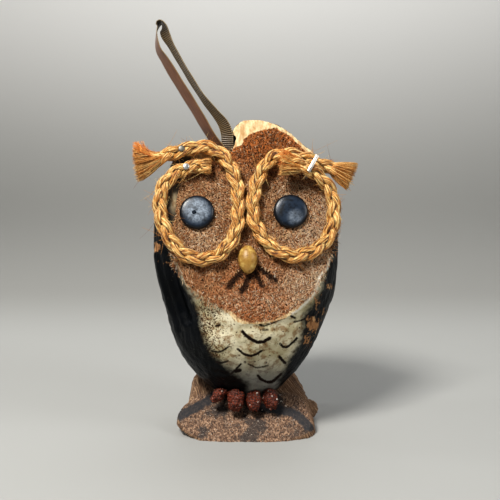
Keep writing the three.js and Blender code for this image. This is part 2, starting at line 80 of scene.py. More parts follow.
def sawn_face_axes():
    turn = Matrix.Rotation(FACE_YAW, 3, "Z")
    out = turn @ (Matrix.Rotation(-FACE_TILT, 3, "X") @ Vector((0, -1, 0)))
    right = turn @ Vector((1, 0, 0))
    return right, out.cross(right), out


FACE_RIGHT, FACE_UP, FACE_OUT = sawn_face_axes()


def on_face(right, up, over):
    """A point given in mm on the sawn face."""
    return (FACE_FOOT + FACE_RIGHT * right + FACE_UP * up + FACE_OUT * over) * MM


def many_on_face(right, up, over):
    places = np.array(FACE_FOOT) + np.outer(right, FACE_RIGHT) + np.outer(up, FACE_UP) + np.outer(over, FACE_OUT)
    return places * MM


def frame_pixels(points):
    """Where points of the owl fall in the frame of the viewpoint."""
    away = points - np.array(VIEWPOINT)
    depth = away[:, 1] * math.cos(VIEW_DOWN) - away[:, 2] * math.sin(VIEW_DOWN)
    height = away[:, 1] * math.sin(VIEW_DOWN) + away[:, 2] * math.cos(VIEW_DOWN)
    across = FRAME_WIDTH / 2 + FOCAL * away[:, 0] / depth
    down = FRAME_WIDTH / 2 - FOCAL * height / depth
    return np.stack([across, down], 1)


def line_distance(places, line):
    """Distance from each place to a drawn line."""
    best = np.full(len(places), 1e9)
    for start, end in zip(np.array(line[:-1], float), np.array(line[1:], float)):
        run = end - start
        share = np.clip((places - start) @ run / max(run @ run, 1e-9), 0, 1)
        best = np.minimum(best, np.linalg.norm(places - start - share[:, None] * run, axis=1))
    return best


def inside_outline(places, outline):
    """Distance to a closed outline, positive inside it."""
    inside = np.zeros(len(places), bool)
    closed = list(outline) + [outline[0]]
    for (x0, y0), (x1, y1) in zip(closed[:-1], closed[1:]):
        if y0 != y1:
            crosses = (places[:, 1] > y0) != (places[:, 1] > y1)
            at = x0 + (places[:, 1] - y0) * (x1 - x0) / (y1 - y0)
            inside ^= crosses & (places[:, 0] < at)
    return line_distance(places, closed) * np.where(inside, 1, -1)


def patches(places, marks):
    """Soft oval patches, each a place, a half-width, a half-height and a strength."""
    best = np.zeros(len(places))
    for x, y, wide, high, strength in marks:
        away = ((places[:, 0] - x) / wide) ** 2 + ((places[:, 1] - y) / high) ** 2
        best = np.maximum(best, strength * np.exp(-away / 1.2))
    return best


def smooth(value, low, high):
    share = np.clip((value - low) / (high - low), 0, 1)
    return share * share * (3 - 2 * share)


def held_in_box(places):
    """Draws in what stands out of the owl's box, to 1.5 mm at most."""
    low, high = np.array(cad_box[0]), np.array(cad_box[1])
    outside = places - np.clip(places, low, high)
    return places - outside + STRAY * np.tanh(outside / STRAY)


def noise_values(points, scale, detail=3):
    """Soft noise from about -1 to 1, with features of 1 / scale metres."""
    return np.array([noise.fractal(Vector(p) * scale, 0.6, 2.0, detail) for p in points])


def smooth_route(points, step):
    """Even points along a smooth route through given points, in the route's own unit."""
    places = np.array(points, float)
    places = np.vstack([2 * places[0] - places[1], places, 2 * places[-1] - places[-2]])
    fine = []
    for p0, p1, p2, p3 in zip(places, places[1:], places[2:], places[3:]):
        t1 = np.linalg.norm(p1 - p0) ** 0.5
        t2 = t1 + np.linalg.norm(p2 - p1) ** 0.5
        t3 = t2 + np.linalg.norm(p3 - p2) ** 0.5
        for t in np.linspace(t1, t2, 24, endpoint=False):
            a1 = (t1 - t) / t1 * p0 + t / t1 * p1
            a2 = (t2 - t) / (t2 - t1) * p1 + (t - t1) / (t2 - t1) * p2
            a3 = (t3 - t) / (t3 - t2) * p2 + (t - t2) / (t3 - t2) * p3
            b1 = (t2 - t) / t2 * a1 + t / t2 * a2
            b2 = (t3 - t) / (t3 - t1) * a2 + (t - t1) / (t3 - t1) * a3
            fine.append((t2 - t) / (t2 - t1) * b1 + (t - t1) / (t2 - t1) * b2)
    fine.append(places[-2])
    fine = np.array(fine)
    run = np.concatenate([[0], np.cumsum(np.linalg.norm(np.diff(fine, axis=0), axis=1))])
    count = max(2, round(run[-1] / step)) + 1
    even = np.linspace(0, run[-1], count)
    return np.stack([np.interp(even, run, fine[:, k]) for k in range(fine.shape[1])], 1)


def directions_along(route):
    along = np.gradient(route, axis=0)
    return along / np.linalg.norm(along, axis=1)[:, None]


# Making and finishing pieces

def pick(piece):
    bpy.ops.object.select_all(action="DESELECT")
    piece.select_set(True)
    bpy.context.view_layer.objects.active = piece


def settle(piece, material, nodes=()):
    """Gives a finished piece its material, says what it rides on, and hides the solids that it stands for."""
    piece.data.materials.clear()
    piece.data.materials.append(material)
    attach(piece, "root")
    if nodes:
        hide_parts(*nodes)
    return piece


def drawn_piece(name, points, faces, material, nodes=()):
    """A smooth piece from its points and faces."""
    mesh = bpy.data.meshes.new(name)
    mesh.from_pydata([tuple(p) for p in points], [], faces)
    mesh.shade_smooth()
    piece = bpy.data.objects.new(name, mesh)
    bpy.context.collection.objects.link(piece)
    return settle(piece, material, nodes)


def merged_copy(node, name):
    """A new piece that starts as a solid's mesh, with its corners joined."""
    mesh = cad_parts[node].data.copy()
    piece = bpy.data.objects.new(name, mesh)
    mesh.name = name
    bpy.context.collection.objects.link(piece)
    pick(piece)
    bpy.ops.object.mode_set(mode="EDIT")
    bpy.ops.mesh.select_all(action="SELECT")
    bpy.ops.mesh.remove_doubles(threshold=1e-6)
    bpy.ops.object.mode_set(mode="OBJECT")
    return piece


def apply(piece, kind, **settings):
    """Adds a modifier with its settings and applies it."""
    pick(piece)
    step = piece.modifiers.new(kind.lower(), kind)
    for key, value in settings.items():
        setattr(step, key, value)
    bpy.ops.object.modifier_apply(modifier=step.name)


def points_of(piece):
    places = np.empty(len(piece.data.vertices) * 3, np.float32)
    piece.data.vertices.foreach_get("co", places)
    return places.reshape(-1, 3).astype(float)


def normals_of(piece):
    normals = np.empty(len(piece.data.vertices) * 3, np.float32)
    piece.data.vertex_normals.foreach_get("vector", normals)
    return normals.reshape(-1, 3).astype(float)


def move_points(piece, places):
    piece.data.vertices.foreach_set("co", places.astype(np.float32).ravel())
    piece.data.update()


def relax(piece, rounds, hold):
    """Evens out a surface where hold is 0, and leaves it where hold is 1."""
    edges = np.empty(len(piece.data.edges) * 2, np.int32)
    piece.data.edges.foreach_get("vertices", edges)
    edges = edges.reshape(-1, 2)
    ends = np.concatenate([edges[:, 0], edges[:, 1]])
    others = np.concatenate([edges[:, 1], edges[:, 0]])
    places = points_of(piece)
    count = np.maximum(np.bincount(ends, minlength=len(places)), 1)[:, None]
    free = (1 - hold)[:, None] * 0.6
    for _ in range(rounds):
        mean = np.stack([np.bincount(ends, places[others, k], len(places)) for k in range(3)], 1) / count
        places += (mean - places) * free
    move_points(piece, places)


def write_layer(piece, name, values):
    made = piece.data.attributes.new(name, "FLOAT", "POINT")
    made.data.foreach_set("value", np.asarray(values, np.float32))


def start_edit(piece, faces):
    """Opens a piece in edit mode with some of its faces selected, given by their numbers."""
    pick(piece)
    bpy.ops.object.mode_set(mode="EDIT")
    bpy.ops.mesh.select_mode(type="FACE")
    bpy.ops.mesh.select_all(action="DESELECT")
    bpy.ops.object.mode_set(mode="OBJECT")
    for number in faces:
        piece.data.polygons[number].select = True
    bpy.ops.object.mode_set(mode="EDIT")


def seat_on_face(piece, right, up, over=0.0):
    """Turns a shape made at the origin, with Z outwards, onto the sawn face."""
    turn = Matrix((FACE_RIGHT, FACE_UP, FACE_OUT)).transposed()
    piece.data.transform(Matrix.Translation(on_face(right, up, over)) @ turn.to_4x4())
    piece.data.update()


# Camera, light and floor

def make_camera():
    lens = bpy.data.cameras.new("camera")
    lens.sensor_width = 36
    lens.lens = 36 * FOCAL / FRAME_WIDTH
    lens.clip_end = 20
    camera = bpy.data.objects.new("camera", lens)
    camera.location = VIEWPOINT
    camera.rotation_euler = (math.radians(90) - VIEW_DOWN, 0, 0)
    bpy.context.collection.objects.link(camera)
    bpy.context.scene.camera = camera


def area_light(name, place, aim, size, power, colour=(1, 1, 1)):
    light = bpy.data.lights.new(name, "AREA")
    light.size = size
    light.energy = power
    light.color = colour
    lamp = bpy.data.objects.new(name, light)
    lamp.location = place
    lamp.rotation_euler = (Vector(aim) - Vector(place)).to_track_quat("-Z", "Y").to_euler()
    bpy.context.collection.objects.link(lamp)


def make_studio():
    bpy.context.scene.view_settings.view_transform = "Standard"
    bpy.context.scene.view_settings.look = "Medium High Contrast"
    area_light("key_light", (-0.5, -0.75, 1.3), (0, 0, 0.12), 0.36, 26, (1, 0.97, 0.92))
    area_light("side_light", (1.1, -0.5, 0.8), (0, 0, 0.12), 0.4, 5, (1, 1, 1))
    area_light("wing_light", (-1.0, 0.1, 0.6), (0, 0, 0.12), 0.12, 1.4, (1, 1, 1))
    area_light("sweep_light", (0.1, 0.7, 1.4), (0, 1.2, 0.5), 1.0, 7)
    world = bpy.data.worlds.new("studio")
    bpy.context.scene.world = world
    world.use_nodes = True
    world.node_tree.nodes["Background"].inputs["Color"].default_value = (0.92, 0.92, 0.92, 1)
    world.node_tree.nodes["Background"].inputs["Strength"].default_value = 0.13
    material, tree, shader = new_material("backdrop_paper")
    place = node(tree, "ShaderNodeSeparateXYZ",
                 {"Vector": node(tree, "ShaderNodeTexCoord").outputs["Object"]}).outputs
    # Painted shading on the backdrop: the floor behind the owl and the foot of the sweep are darker than the near
    # floor, lightening up the wall.
    behind = fade(tree, place["Y"], 0.24, 0.5)
    painted_wall_shade = mix(tree, fade(tree, place["Z"], 0.0, 0.7), srgb(148, 148, 145), srgb(230, 230, 228))
    tree.links.new(mix(tree, behind, srgb(164, 165, 163), painted_wall_shade), shader.inputs["Base Color"])
    shader.inputs["Roughness"].default_value = 0.6
    bpy.ops.object.select_all(action="DESELECT")
    bpy.ops.mesh.primitive_plane_add(size=1, location=(0, 0, 0))
    floor = bpy.context.object
    floor.name = "floor"
    bpy.ops.object.mode_set(mode="EDIT")
    bpy.ops.mesh.select_all(action="SELECT")
    bpy.ops.transform.resize(value=(6, 2.4, 1))
    bpy.ops.transform.translate(value=(0, -0.2, 0))
    bpy.ops.mesh.select_mode(type="EDGE")
    bpy.ops.mesh.select_all(action="DESELECT")
    bpy.ops.object.mode_set(mode="OBJECT")
    for edge in floor.data.edges:
        edge.select = all(floor.data.vertices[v].co.y > 0.9 for v in edge.vertices)
    bpy.ops.object.mode_set(mode="EDIT")
    for rise in ((0, 0.35, 0.08), (0, 0.25, 0.35), (0, 0.05, 2.4)):
        bpy.ops.mesh.extrude_region_move(TRANSFORM_OT_translate={"value": rise})
    bpy.ops.object.mode_set(mode="OBJECT")
    apply(floor, "SUBSURF", levels=3, render_levels=3)
    floor.data.shade_smooth()
    floor.data.materials.append(material)


# Nodes for the materials

def srgb(red, green, blue):
    """A colour given as it looks on a screen."""
    def linear(value):
        value /= 255
        return value / 12.92 if value <= 0.04045 else ((value + 0.055) / 1.055) ** 2.4
    return (linear(red), linear(green), linear(blue), 1)


def new_material(name):
    material = bpy.data.materials.new(name)
    material.use_nodes = True
    return material, material.node_tree, material.node_tree.nodes["Principled BSDF"]


def connect(tree, value, socket):
    if isinstance(value, bpy.types.NodeSocket):
        tree.links.new(value, socket)
    else:
        socket.default_value = value


def node(tree, kind, inputs=(), **settings):
    """A shader node with its settings, and its inputs given as values or as other nodes' outputs."""
    made = tree.nodes.new(kind)
    for key, value in settings.items():
        setattr(made, key, value)
    for key, value in dict(inputs).items():
        connect(tree, value, made.inputs[key])
    return made


def reckon(tree, operation, first, second=0.5, third=0.5):
    return node(tree, "ShaderNodeMath", {0: first, 1: second, 2: third}, operation=operation).outputs[0]


def mix(tree, share, first, second):
    return node(tree, "ShaderNodeMix", {0: share, 6: first, 7: second}, data_type="RGBA").outputs[2]


def fade(tree, value, low, high, to_low=0.0, to_high=1.0):
    inputs = {"Value": value, "From Min": low, "From Max": high, "To Min": to_low, "To Max": to_high}
    return node(tree, "ShaderNodeMapRange", inputs, interpolation_type="SMOOTHSTEP").outputs[0]


def layer(tree, name):
    return node(tree, "ShaderNodeAttribute", attribute_name=name).outputs["Fac"]


def new_group(name, inputs, outputs):
    """An empty node group, its group input's sockets by name, and its output node."""
    kinds = {"value": "NodeSocketFloat", "colour": "NodeSocketColor", "vector": "NodeSocketVector"}
    group = bpy.data.node_groups.new(name, "ShaderNodeTree")
    for label, (kind, default) in inputs.items():
        socket = group.interface.new_socket(label, in_out="INPUT", socket_type=kinds[kind])
        socket.default_value = default
    for label, kind in outputs.items():
        group.interface.new_socket(label, in_out="OUTPUT", socket_type=kinds[kind])
    source = group.nodes.new("NodeGroupInput").outputs
    return group, source, group.nodes.new("NodeGroupOutput").inputs


def place_group(tree, name, **inputs):
    """Puts a shared node group in a material, with the values that this material gives it."""
    made = tree.nodes.new("ShaderNodeGroup")
    made.node_tree = bpy.data.node_groups[name]
    for key, value in inputs.items():
        connect(tree, value, made.inputs[key.replace("_", " ")])
    return made.outputs


def make_shared_groups():
    """The effects that several of the owl's finishes share."""
    group, source, result = new_group("grain", {
        "scale": ("value", 300.0), "detail": ("value", 4.0), "stretch": ("vector", (1, 1, 1)),
        "low": ("value", 0.35), "high": ("value", 0.65)}, {"raw": "value", "mask": "value"})
    place = node(group, "ShaderNodeTexCoord").outputs["Object"]
    mapped = node(group, "ShaderNodeMapping", {"Vector": place, "Scale": source["stretch"]}).outputs[0]
    raw = node(group, "ShaderNodeTexNoise", {"Vector": mapped, "Scale": source["scale"],
                                             "Detail": source["detail"], "Roughness": 0.62}).outputs["Fac"]
    connect(group, raw, result["raw"])
    connect(group, fade(group, raw, source["low"], source["high"]), result["mask"])

    group, source, result = new_group("lengthwise_fibres", {
        "length scale": ("value", 150.0), "width scale": ("value", 1300.0),
        "low": ("value", 0.35), "high": ("value", 0.65)}, {"raw": "value", "mask": "value"})
    place = node(group, "ShaderNodeTexCoord").outputs["UV"]
    stretch = node(group, "ShaderNodeCombineXYZ",
                   {"X": source["length scale"], "Y": source["width scale"], "Z": 1.0}).outputs[0]
    mapped = node(group, "ShaderNodeMapping", {"Vector": place, "Scale": stretch}).outputs[0]
    raw = node(group, "ShaderNodeTexNoise", {"Vector": mapped, "Scale": 1.0, "Detail": 4.0,
                                             "Roughness": 0.65}).outputs["Fac"]
    connect(group, raw, result["raw"])
    connect(group, fade(group, raw, source["low"], source["high"]), result["mask"])

    group, source, result = new_group("three_tones", {
        "value": ("value", 0.5), "dark": ("colour", (0, 0, 0, 1)), "middle": ("colour", (0.5, 0.5, 0.5, 1)),
        "light": ("colour", (1, 1, 1, 1)), "dark to": ("value", 0.3), "light from": ("value", 0.55)},
        {"colour": "colour"})
    low = mix(group, fade(group, source["value"], 0.0, source["dark to"]), source["dark"], source["middle"])
    top = fade(group, source["value"], source["light from"], 1.0)
    connect(group, mix(group, top, low, source["light"]), result["colour"])

    # Spots of a second colour: stains and specks on most finishes, and painted glints on the toes.
    group, source, result = new_group("stain", {
        "colour": ("colour", (0.5, 0.5, 0.5, 1)), "stain": ("colour", (0, 0, 0, 1)), "amount": ("value", 1.0),
        "scale": ("value", 300.0), "low": ("value", 0.5), "high": ("value", 0.6)}, {"colour": "colour"})
    place = node(group, "ShaderNodeTexCoord").outputs["Object"]
    spots = node(group, "ShaderNodeTexNoise", {"Vector": place, "Scale": source["scale"], "Detail": 4.0,
                                               "Roughness": 0.6}).outputs["Fac"]
    share = reckon(group, "MULTIPLY", fade(group, spots, source["low"], source["high"]), source["amount"])
    connect(group, mix(group, share, source["colour"], source["stain"]), result["colour"])

    group, source, result = new_group("ragged_edge", {
        "distance": ("value", 0.0), "raggedness": ("value", 2.0), "scale": ("value", 300.0),
        "softness": ("value", 1.0)}, {"inside": "value"})
    place = node(group, "ShaderNodeTexCoord").outputs["Object"]
    spots = node(group, "ShaderNodeTexNoise", {"Vector": place, "Scale": source["scale"], "Detail": 4.0,
                                               "Roughness": 0.62}).outputs["Fac"]
    drift = reckon(group, "MULTIPLY", reckon(group, "SUBTRACT", spots, 0.5), source["raggedness"])
    moved = reckon(group, "ADD", source["distance"], drift)
    low = reckon(group, "MULTIPLY", source["softness"], -1.0)
    connect(group, fade(group, moved, low, source["softness"]), result["inside"])


def relief(tree, shader, height, strength, distance):
    made = node(tree, "ShaderNodeBump", {"Height": height, "Strength": strength, "Distance": distance})
    tree.links.new(made.outputs[0], shader.inputs["Normal"])


def grain(tree, scale, low=0.35, high=0.65, detail=4.0, stretch=(1, 1, 1)):
    return place_group(tree, "grain", scale=scale, low=low, high=high, detail=detail, stretch=stretch)


# Finishes of the husk

def husk_finish():
    """The sawn face with its cream rim, and the worn black and off-white paint on the skin."""
    material, tree, shader = new_material("painted_husk")
    link = tree.links.new
    fine = grain(tree, 900, 0.38, 0.62, 3)
    medium = grain(tree, 260, 0.45, 0.75)
    broad = grain(tree, 60, 0.35, 0.65, 3)
    furrows = grain(tree, 300, 0.3, 0.7, stretch=(1, 1, 0.18))

    skin = place_group(tree, "three_tones", value=furrows["mask"], dark=srgb(92, 62, 40),
                       middle=srgb(160, 118, 80), light=srgb(204, 166, 122))["colour"]
    cream = mix(tree, broad["mask"], srgb(184, 174, 140), srgb(224, 216, 188))
    cream = place_group(tree, "stain", colour=cream, stain=srgb(132, 100, 62), amount=0.75, scale=190,
                        low=0.48, high=0.62)["colour"]
    cream = place_group(tree, "stain", colour=cream, stain=srgb(62, 42, 28), amount=0.9, scale=420,
                        low=0.62, high=0.68)["colour"]
    cream = mix(tree, reckon(tree, "MULTIPLY", layer(tree, "cool"), 0.85), cream, srgb(108, 110, 110))
    fleck = reckon(tree, "MULTIPLY_ADD", layer(tree, "flecks"), 0.17, fine["raw"])
    cream = mix(tree, fade(tree, fleck, 0.665, 0.7), cream, srgb(66, 42, 24))

    sprayed = place_group(tree, "ragged_edge", distance=layer(tree, "black"), raggedness=7.0, scale=260,
                          softness=3.6)["inside"]
    black = mix(tree, broad["mask"], srgb(2, 4, 6), srgb(11, 14, 18))
    black = place_group(tree, "stain", colour=black, stain=srgb(150, 146, 132), amount=0.7, scale=760,
                        low=0.71, high=0.73)["colour"]
    painted = mix(tree, sprayed, cream, black)
    stroke = place_group(tree, "ragged_edge", distance=layer(tree, "stroke"), raggedness=1.5, scale=900,
                         softness=0.45)["inside"]
    painted = mix(tree, reckon(tree, "SUBTRACT", 1.0, stroke), painted, srgb(30, 20, 16))
    rubbed = reckon(tree, "MULTIPLY_ADD", medium["raw"], 1.6, layer(tree, "worn"))
    rubbed = reckon(tree, "MULTIPLY_ADD", fine["raw"], 0.7, rubbed)
    rubbed = fade(tree, rubbed, 1.65, 1.74)
    outside = mix(tree, rubbed, painted, skin)

    warm = mix(tree, layer(tree, "warmth"), srgb(184, 146, 110), srgb(186, 118, 74))
    warm = mix(tree, layer(tree, "top"), warm, srgb(184, 114, 64))
    warm = mix(tree, reckon(tree, "MULTIPLY", layer(tree, "pale"), 0.6), warm, srgb(222, 198, 168))
    ends = mix(tree, fine["mask"], srgb(50, 29, 18), warm)
    ends = place_group(tree, "stain", colour=ends, stain=srgb(110, 66, 42), amount=0.4, scale=260,
                       low=0.45, high=0.7)["colour"]
    whisker = place_group(tree, "ragged_edge", distance=layer(tree, "whisker"), raggedness=3.4, scale=900,
                          softness=0.9)["inside"]
    ends = mix(tree, reckon(tree, "MULTIPLY_ADD", whisker, -0.9, 0.9), ends, srgb(20, 15, 14))
    cream_rim = mix(tree, furrows["mask"], srgb(190, 150, 104), srgb(246, 226, 182))
    rim = mix(tree, layer(tree, "grey_rim"), cream_rim, srgb(58, 54, 50))
    cut = place_group(tree, "ragged_edge", distance=layer(tree, "fibre"), raggedness=4.0, scale=260,
                      softness=0.5)["inside"]
    face = mix(tree, cut, rim, ends)
    sawn = fade(tree, layer(tree, "sawn"), 0.35, 0.65)
    frosted = place_group(tree, "ragged_edge", distance=layer(tree, "frosted_edge"), raggedness=2.4, scale=420,
                          softness=0.8)["inside"]
    colour = mix(tree, sawn, outside, face)
    colour = mix(tree, reckon(tree, "MULTIPLY_ADD", frosted, -0.85, 0.85), colour, srgb(226, 222, 208))
    link(colour, shader.inputs["Base Color"])

    unpainted = reckon(tree, "MAXIMUM", rubbed, reckon(tree, "SUBTRACT", 1.0, sprayed))
    dull = mix(tree, unpainted, (0.42, 0.42, 0.42, 1), (0.65, 0.65, 0.65, 1))
    link(mix(tree, sawn, dull, (0.9, 0.9, 0.9, 1)), shader.inputs["Roughness"])
    varnish = reckon(tree, "MULTIPLY", reckon(tree, "SUBTRACT", 1.0, unpainted), reckon(tree, "SUBTRACT", 1.0, sawn))
    link(reckon(tree, "MULTIPLY", varnish, 0.12), shader.inputs["Coat Weight"])
    shader.inputs["Coat Roughness"].default_value = 0.12
    shader.inputs["Specular IOR Level"].default_value = 0.06
    relief(tree, shader, reckon(tree, "MULTIPLY_ADD", furrows["raw"], 0.8, fine["raw"]), 0.5, 0.0009)
    return material


def base_finish():
    """Torn husk behind, and a cut facet with dark patches and specks of glue in front."""
    material, tree, shader = new_material("bare_husk")
    fine = grain(tree, 780, 0.36, 0.66, stretch=(1, 0.5, 0.8))
    fall = node(tree, "ShaderNodeCombineXYZ", {"X": layer(tree, "spread"), "Y": layer(tree, "downhill")}).outputs[0]
    torn = node(tree, "ShaderNodeTexNoise", {"Vector": fall, "Scale": 1000.0, "Detail": 5.0,
                                             "Roughness": 0.66}).outputs["Fac"]
    mound = place_group(tree, "three_tones", value=fade(tree, torn, 0.34, 0.64), dark=srgb(50, 35, 26), middle=srgb(114, 86, 64),
                        light=srgb(174, 144, 114))["colour"]
    cut = place_group(tree, "three_tones", value=fine["mask"], dark=srgb(62, 44, 34), middle=srgb(114, 88, 70),
                      light=srgb(168, 138, 112))["colour"]
    cut = place_group(tree, "stain", colour=cut, stain=srgb(56, 50, 48), amount=0.85, scale=70, low=0.48,
                      high=0.62)["colour"]
    cut = place_group(tree, "stain", colour=cut, stain=srgb(236, 226, 208), amount=1.0, scale=1300, low=0.64,
                      high=0.68)["colour"]
    colour = mix(tree, layer(tree, "facet"), mound, cut)
    band = place_group(tree, "ragged_edge", distance=layer(tree, "band"), raggedness=5.0, scale=200,
                       softness=1.0)["inside"]
    colour = mix(tree, reckon(tree, "MULTIPLY_ADD", band, -0.9, 0.9), colour, srgb(44, 47, 52))
    tree.links.new(colour, shader.inputs["Base Color"])
    shader.inputs["Roughness"].default_value = 0.85
    relief(tree, shader, reckon(tree, "ADD", torn, fine["raw"]), 0.6, 0.0011)
    return material


def fibre_finish(name, dark, middle, light):
    """Single plant fibres, each with its own tint."""
    material, tree, shader = new_material(name)
    colour = place_group(tree, "three_tones", value=layer(tree, "tint"), dark=dark, middle=middle,
                         light=light)["colour"]
    fine = grain(tree, 900, 0.4, 0.62)
    colour = mix(tree, reckon(tree, "MULTIPLY", fine["mask"], 0.3), colour, dark)
    tree.links.new(colour, shader.inputs["Base Color"])
    shader.inputs["Roughness"].default_value = 0.6
    return material


# The painted husk, with its marks by where they fall in the frame of the viewpoint

BELLY = [
    (175, 262), (186, 285), (195, 300), (201, 316), (203, 330), (208, 343), (212, 352), (222, 362), (233, 372),
    (242, 378), (249, 384), (247, 396), (274, 396), (278, 380), (283, 371), (287, 361), (294, 349), (300, 338),
    (302, 327), (302, 318), (307, 309), (314, 300), (320, 288), (323, 274), (331, 258), (300, 250), (230, 250),
]
FIBRE = [
    (230, 150), (242, 145), (243, 140), (252, 133), (262, 130), (275, 128), (290, 136), (302, 148), (316, 160),
    (331, 180), (340, 205), (340, 235), (334, 256), (325, 272), (318, 292), (300, 306), (275, 320), (252, 323),
    (240, 319), (232, 312), (222, 309), (207, 306), (190, 290), (172, 268), (168, 240), (175, 218), (177, 196),
    (182, 174), (200, 160),
]
STROKES = [
    (1.7, [(242.5, 331.5), (246, 335.5), (250, 338.5), (254, 341), (258, 342.5), (264, 342), (270, 338)]),
    (1.2, [(238, 349), (243, 353.5), (250, 355.5), (256, 354.5), (262, 351)]),
    (0.9, [(212, 351), (218, 352.5), (223, 350.5), (228, 347)]),
    (1.2, [(280, 343.5), (283, 347), (286, 347), (289, 345.5), (293, 342), (297, 338)]),
    (1.5, [(279.5, 357), (285, 363)]),
    (0.7, [(248, 364), (255, 367), (262, 367), (268, 365.5)]),
    (0.9, [(216, 362), (221, 363), (228, 361)]),
    (1.4, [(258, 375), (260, 378), (263, 380), (268, 382.5), (272, 382), (275, 380), (281, 374)]),
    (1.0, [(231, 374), (236, 369), (241, 364)]),
    (1.8, [(236, 371), (240, 370)]),
    (1.0, [(263, 330), (268, 330)]),
    (1.4, [(260, 324.5), (262, 325.5)]),
    (0.8, [(264, 326), (270, 324), (275, 322), (285, 317.5)]),
    (1.2, [(291, 316), (295, 318)]),
    (0.9, [(294, 322), (298, 321), (302, 320), (312, 317)]),
    (1.0, [(216, 326), (220, 325)]),
]
WHISKERS = [
    (2.9, [(241, 272), (234, 280), (229, 286)]),
    (2.9, [(250, 274), (246, 284), (242, 291)]),
    (2.3, [(255, 272), (259, 280), (262, 286)]),
    (2.5, [(258, 267), (268, 274), (276, 280)]),
]
WORN = [      # place, half-width, half-height and strength
    (157, 248, 4, 6, 0.8), (160, 228, 4, 14, 0.55), (168, 262, 8, 5, 0.5), (176, 272, 6, 6, 0.3),
    (313, 324, 8, 9, 0.85), (318, 300, 6, 8, 0.5), (329, 286, 5, 5, 0.55), (308, 340, 5, 9, 0.6),
    (204, 316, 8, 8, 0.28), (203, 342, 5, 5, 0.25), (322, 312, 8, 7, 0.42), (190, 335, 4, 3, 0.25),
    (200, 372, 4, 3, 0.3),
]
PALE = [
    (312, 245, 22, 30, 1.0), (300, 285, 26, 16, 0.8), (205, 240, 22, 14, 0.6), (270, 300, 18, 12, 0.5),
    (318, 278, 12, 18, 1.0), (302, 300, 16, 10, 0.8), (325, 215, 10, 30, 0.7), (292, 190, 20, 10, 0.4), (236, 300, 14, 8, 0.5), (214, 215, 9, 26, 0.4),
]
CREAM_PATCH = [(174, 202, 3, 8, 0.45)]
FROSTED_EDGE = [(1.1, [(330, 258), (327, 268), (320, 276), (317.5, 284), (316, 290), (311, 298), (304, 304.5),
                       (298, 310), (292, 314)])]
FOLDS = [      # height in mm, half-width in pixels, and line of each fold of the left wing
    (1.7, 4.5, [(163, 255), (170, 285), (178, 308), (184, 326)]),
    (-2.3, 4.0, [(171, 268), (176, 286), (182, 303), (188, 320)]),
    (1.2, 3.0, [(156, 255), (162, 280), (169, 305), (176, 330)]),
    (-1.5, 2.5, [(160, 255), (166, 283), (174, 310), (180, 330)]),
]


def drawn_distance(places, marks):
    """Distance in mm to the nearest edge of some strokes."""
    best = np.full(len(places), 1e9)
    for half_width, line in marks:
        best = np.minimum(best, line_distance(places, line) - half_width)
    return best * PIXEL


def husk_piece(finish):
    piece = merged_copy("husk_body", "husk")
    apply(piece, "REMESH", mode="VOXEL", voxel_size=0.00115)
    places = points_of(piece)
    over = (places / MM - np.array(FACE_FOOT)) @ np.array(FACE_OUT)
    near_cut = smooth(over, -3.5, -1.0)
    crown = smooth(places[:, 2], 0.212, 0.218)
    relax(piece, 40, np.clip(near_cut * 0.97 + crown * 0.7, 0, 0.97))
    places = points_of(piece)
    normals = normals_of(piece)
    over = (places / MM - np.array(FACE_FOOT)) @ np.array(FACE_OUT)
    sawn = smooth(over, -1.1, -0.5)
    spots = frame_pixels(places)
    facing = smooth(-normals[:, 1], 0.0, 0.25)

    wrinkles = noise_values(places * np.array([1, 1, 0.2]), 240)
    dents = noise_values(places, 45)
    rough = noise_values(places, 600, 2)
    lift = (1 - sawn) * (0.42 * wrinkles + 0.6 * dents) + sawn * 0.35 * rough
    for height, half_width, line in FOLDS:
        away = line_distance(spots, line) / half_width
        lift += height * np.exp(-away * away) * facing * (1 - sawn)
    move_points(piece, places + normals * (lift * MM)[:, None])

    black = -inside_outline(spots, BELLY) * PIXEL
    write_layer(piece, "black", black * facing + 30 * (1 - facing))
    write_layer(piece, "stroke", drawn_distance(spots, STROKES) + 20 * (1 - facing))
    write_layer(piece, "whisker", drawn_distance(spots, WHISKERS))
    write_layer(piece, "fibre", inside_outline(spots, FIBRE) * PIXEL)
    write_layer(piece, "frosted_edge", drawn_distance(spots, FROSTED_EDGE) + 20 * (1 - facing))
    write_layer(piece, "sawn", sawn)
    scuffs = np.clip(noise_values(places, 34, 3) - 0.16, 0, 1) * 1.4 * (1 - facing)
    write_layer(piece, "worn", patches(spots, WORN) * facing + scuffs)
    write_layer(piece, "cool", smooth(spots[:, 1], 350, 382) * facing)
    write_layer(piece, "flecks", smooth(spots[:, 0], 190, 205) * (1 - smooth(spots[:, 0], 205, 240)))
    write_layer(piece, "top", 1 - smooth(spots[:, 1], 150, 190))
    write_layer(piece, "warmth", patches(spots, [(252, 300, 45, 38, 1.0)]))
    write_layer(piece, "pale", patches(spots, PALE))
    left = (1 - smooth(spots[:, 0], 195, 205)) * smooth(spots[:, 1], 150, 160)
    write_layer(piece, "grey_rim", left * (1 - patches(spots, CREAM_PATCH)))
    piece.data.shade_smooth()
    return settle(piece, finish, ["husk_body"])


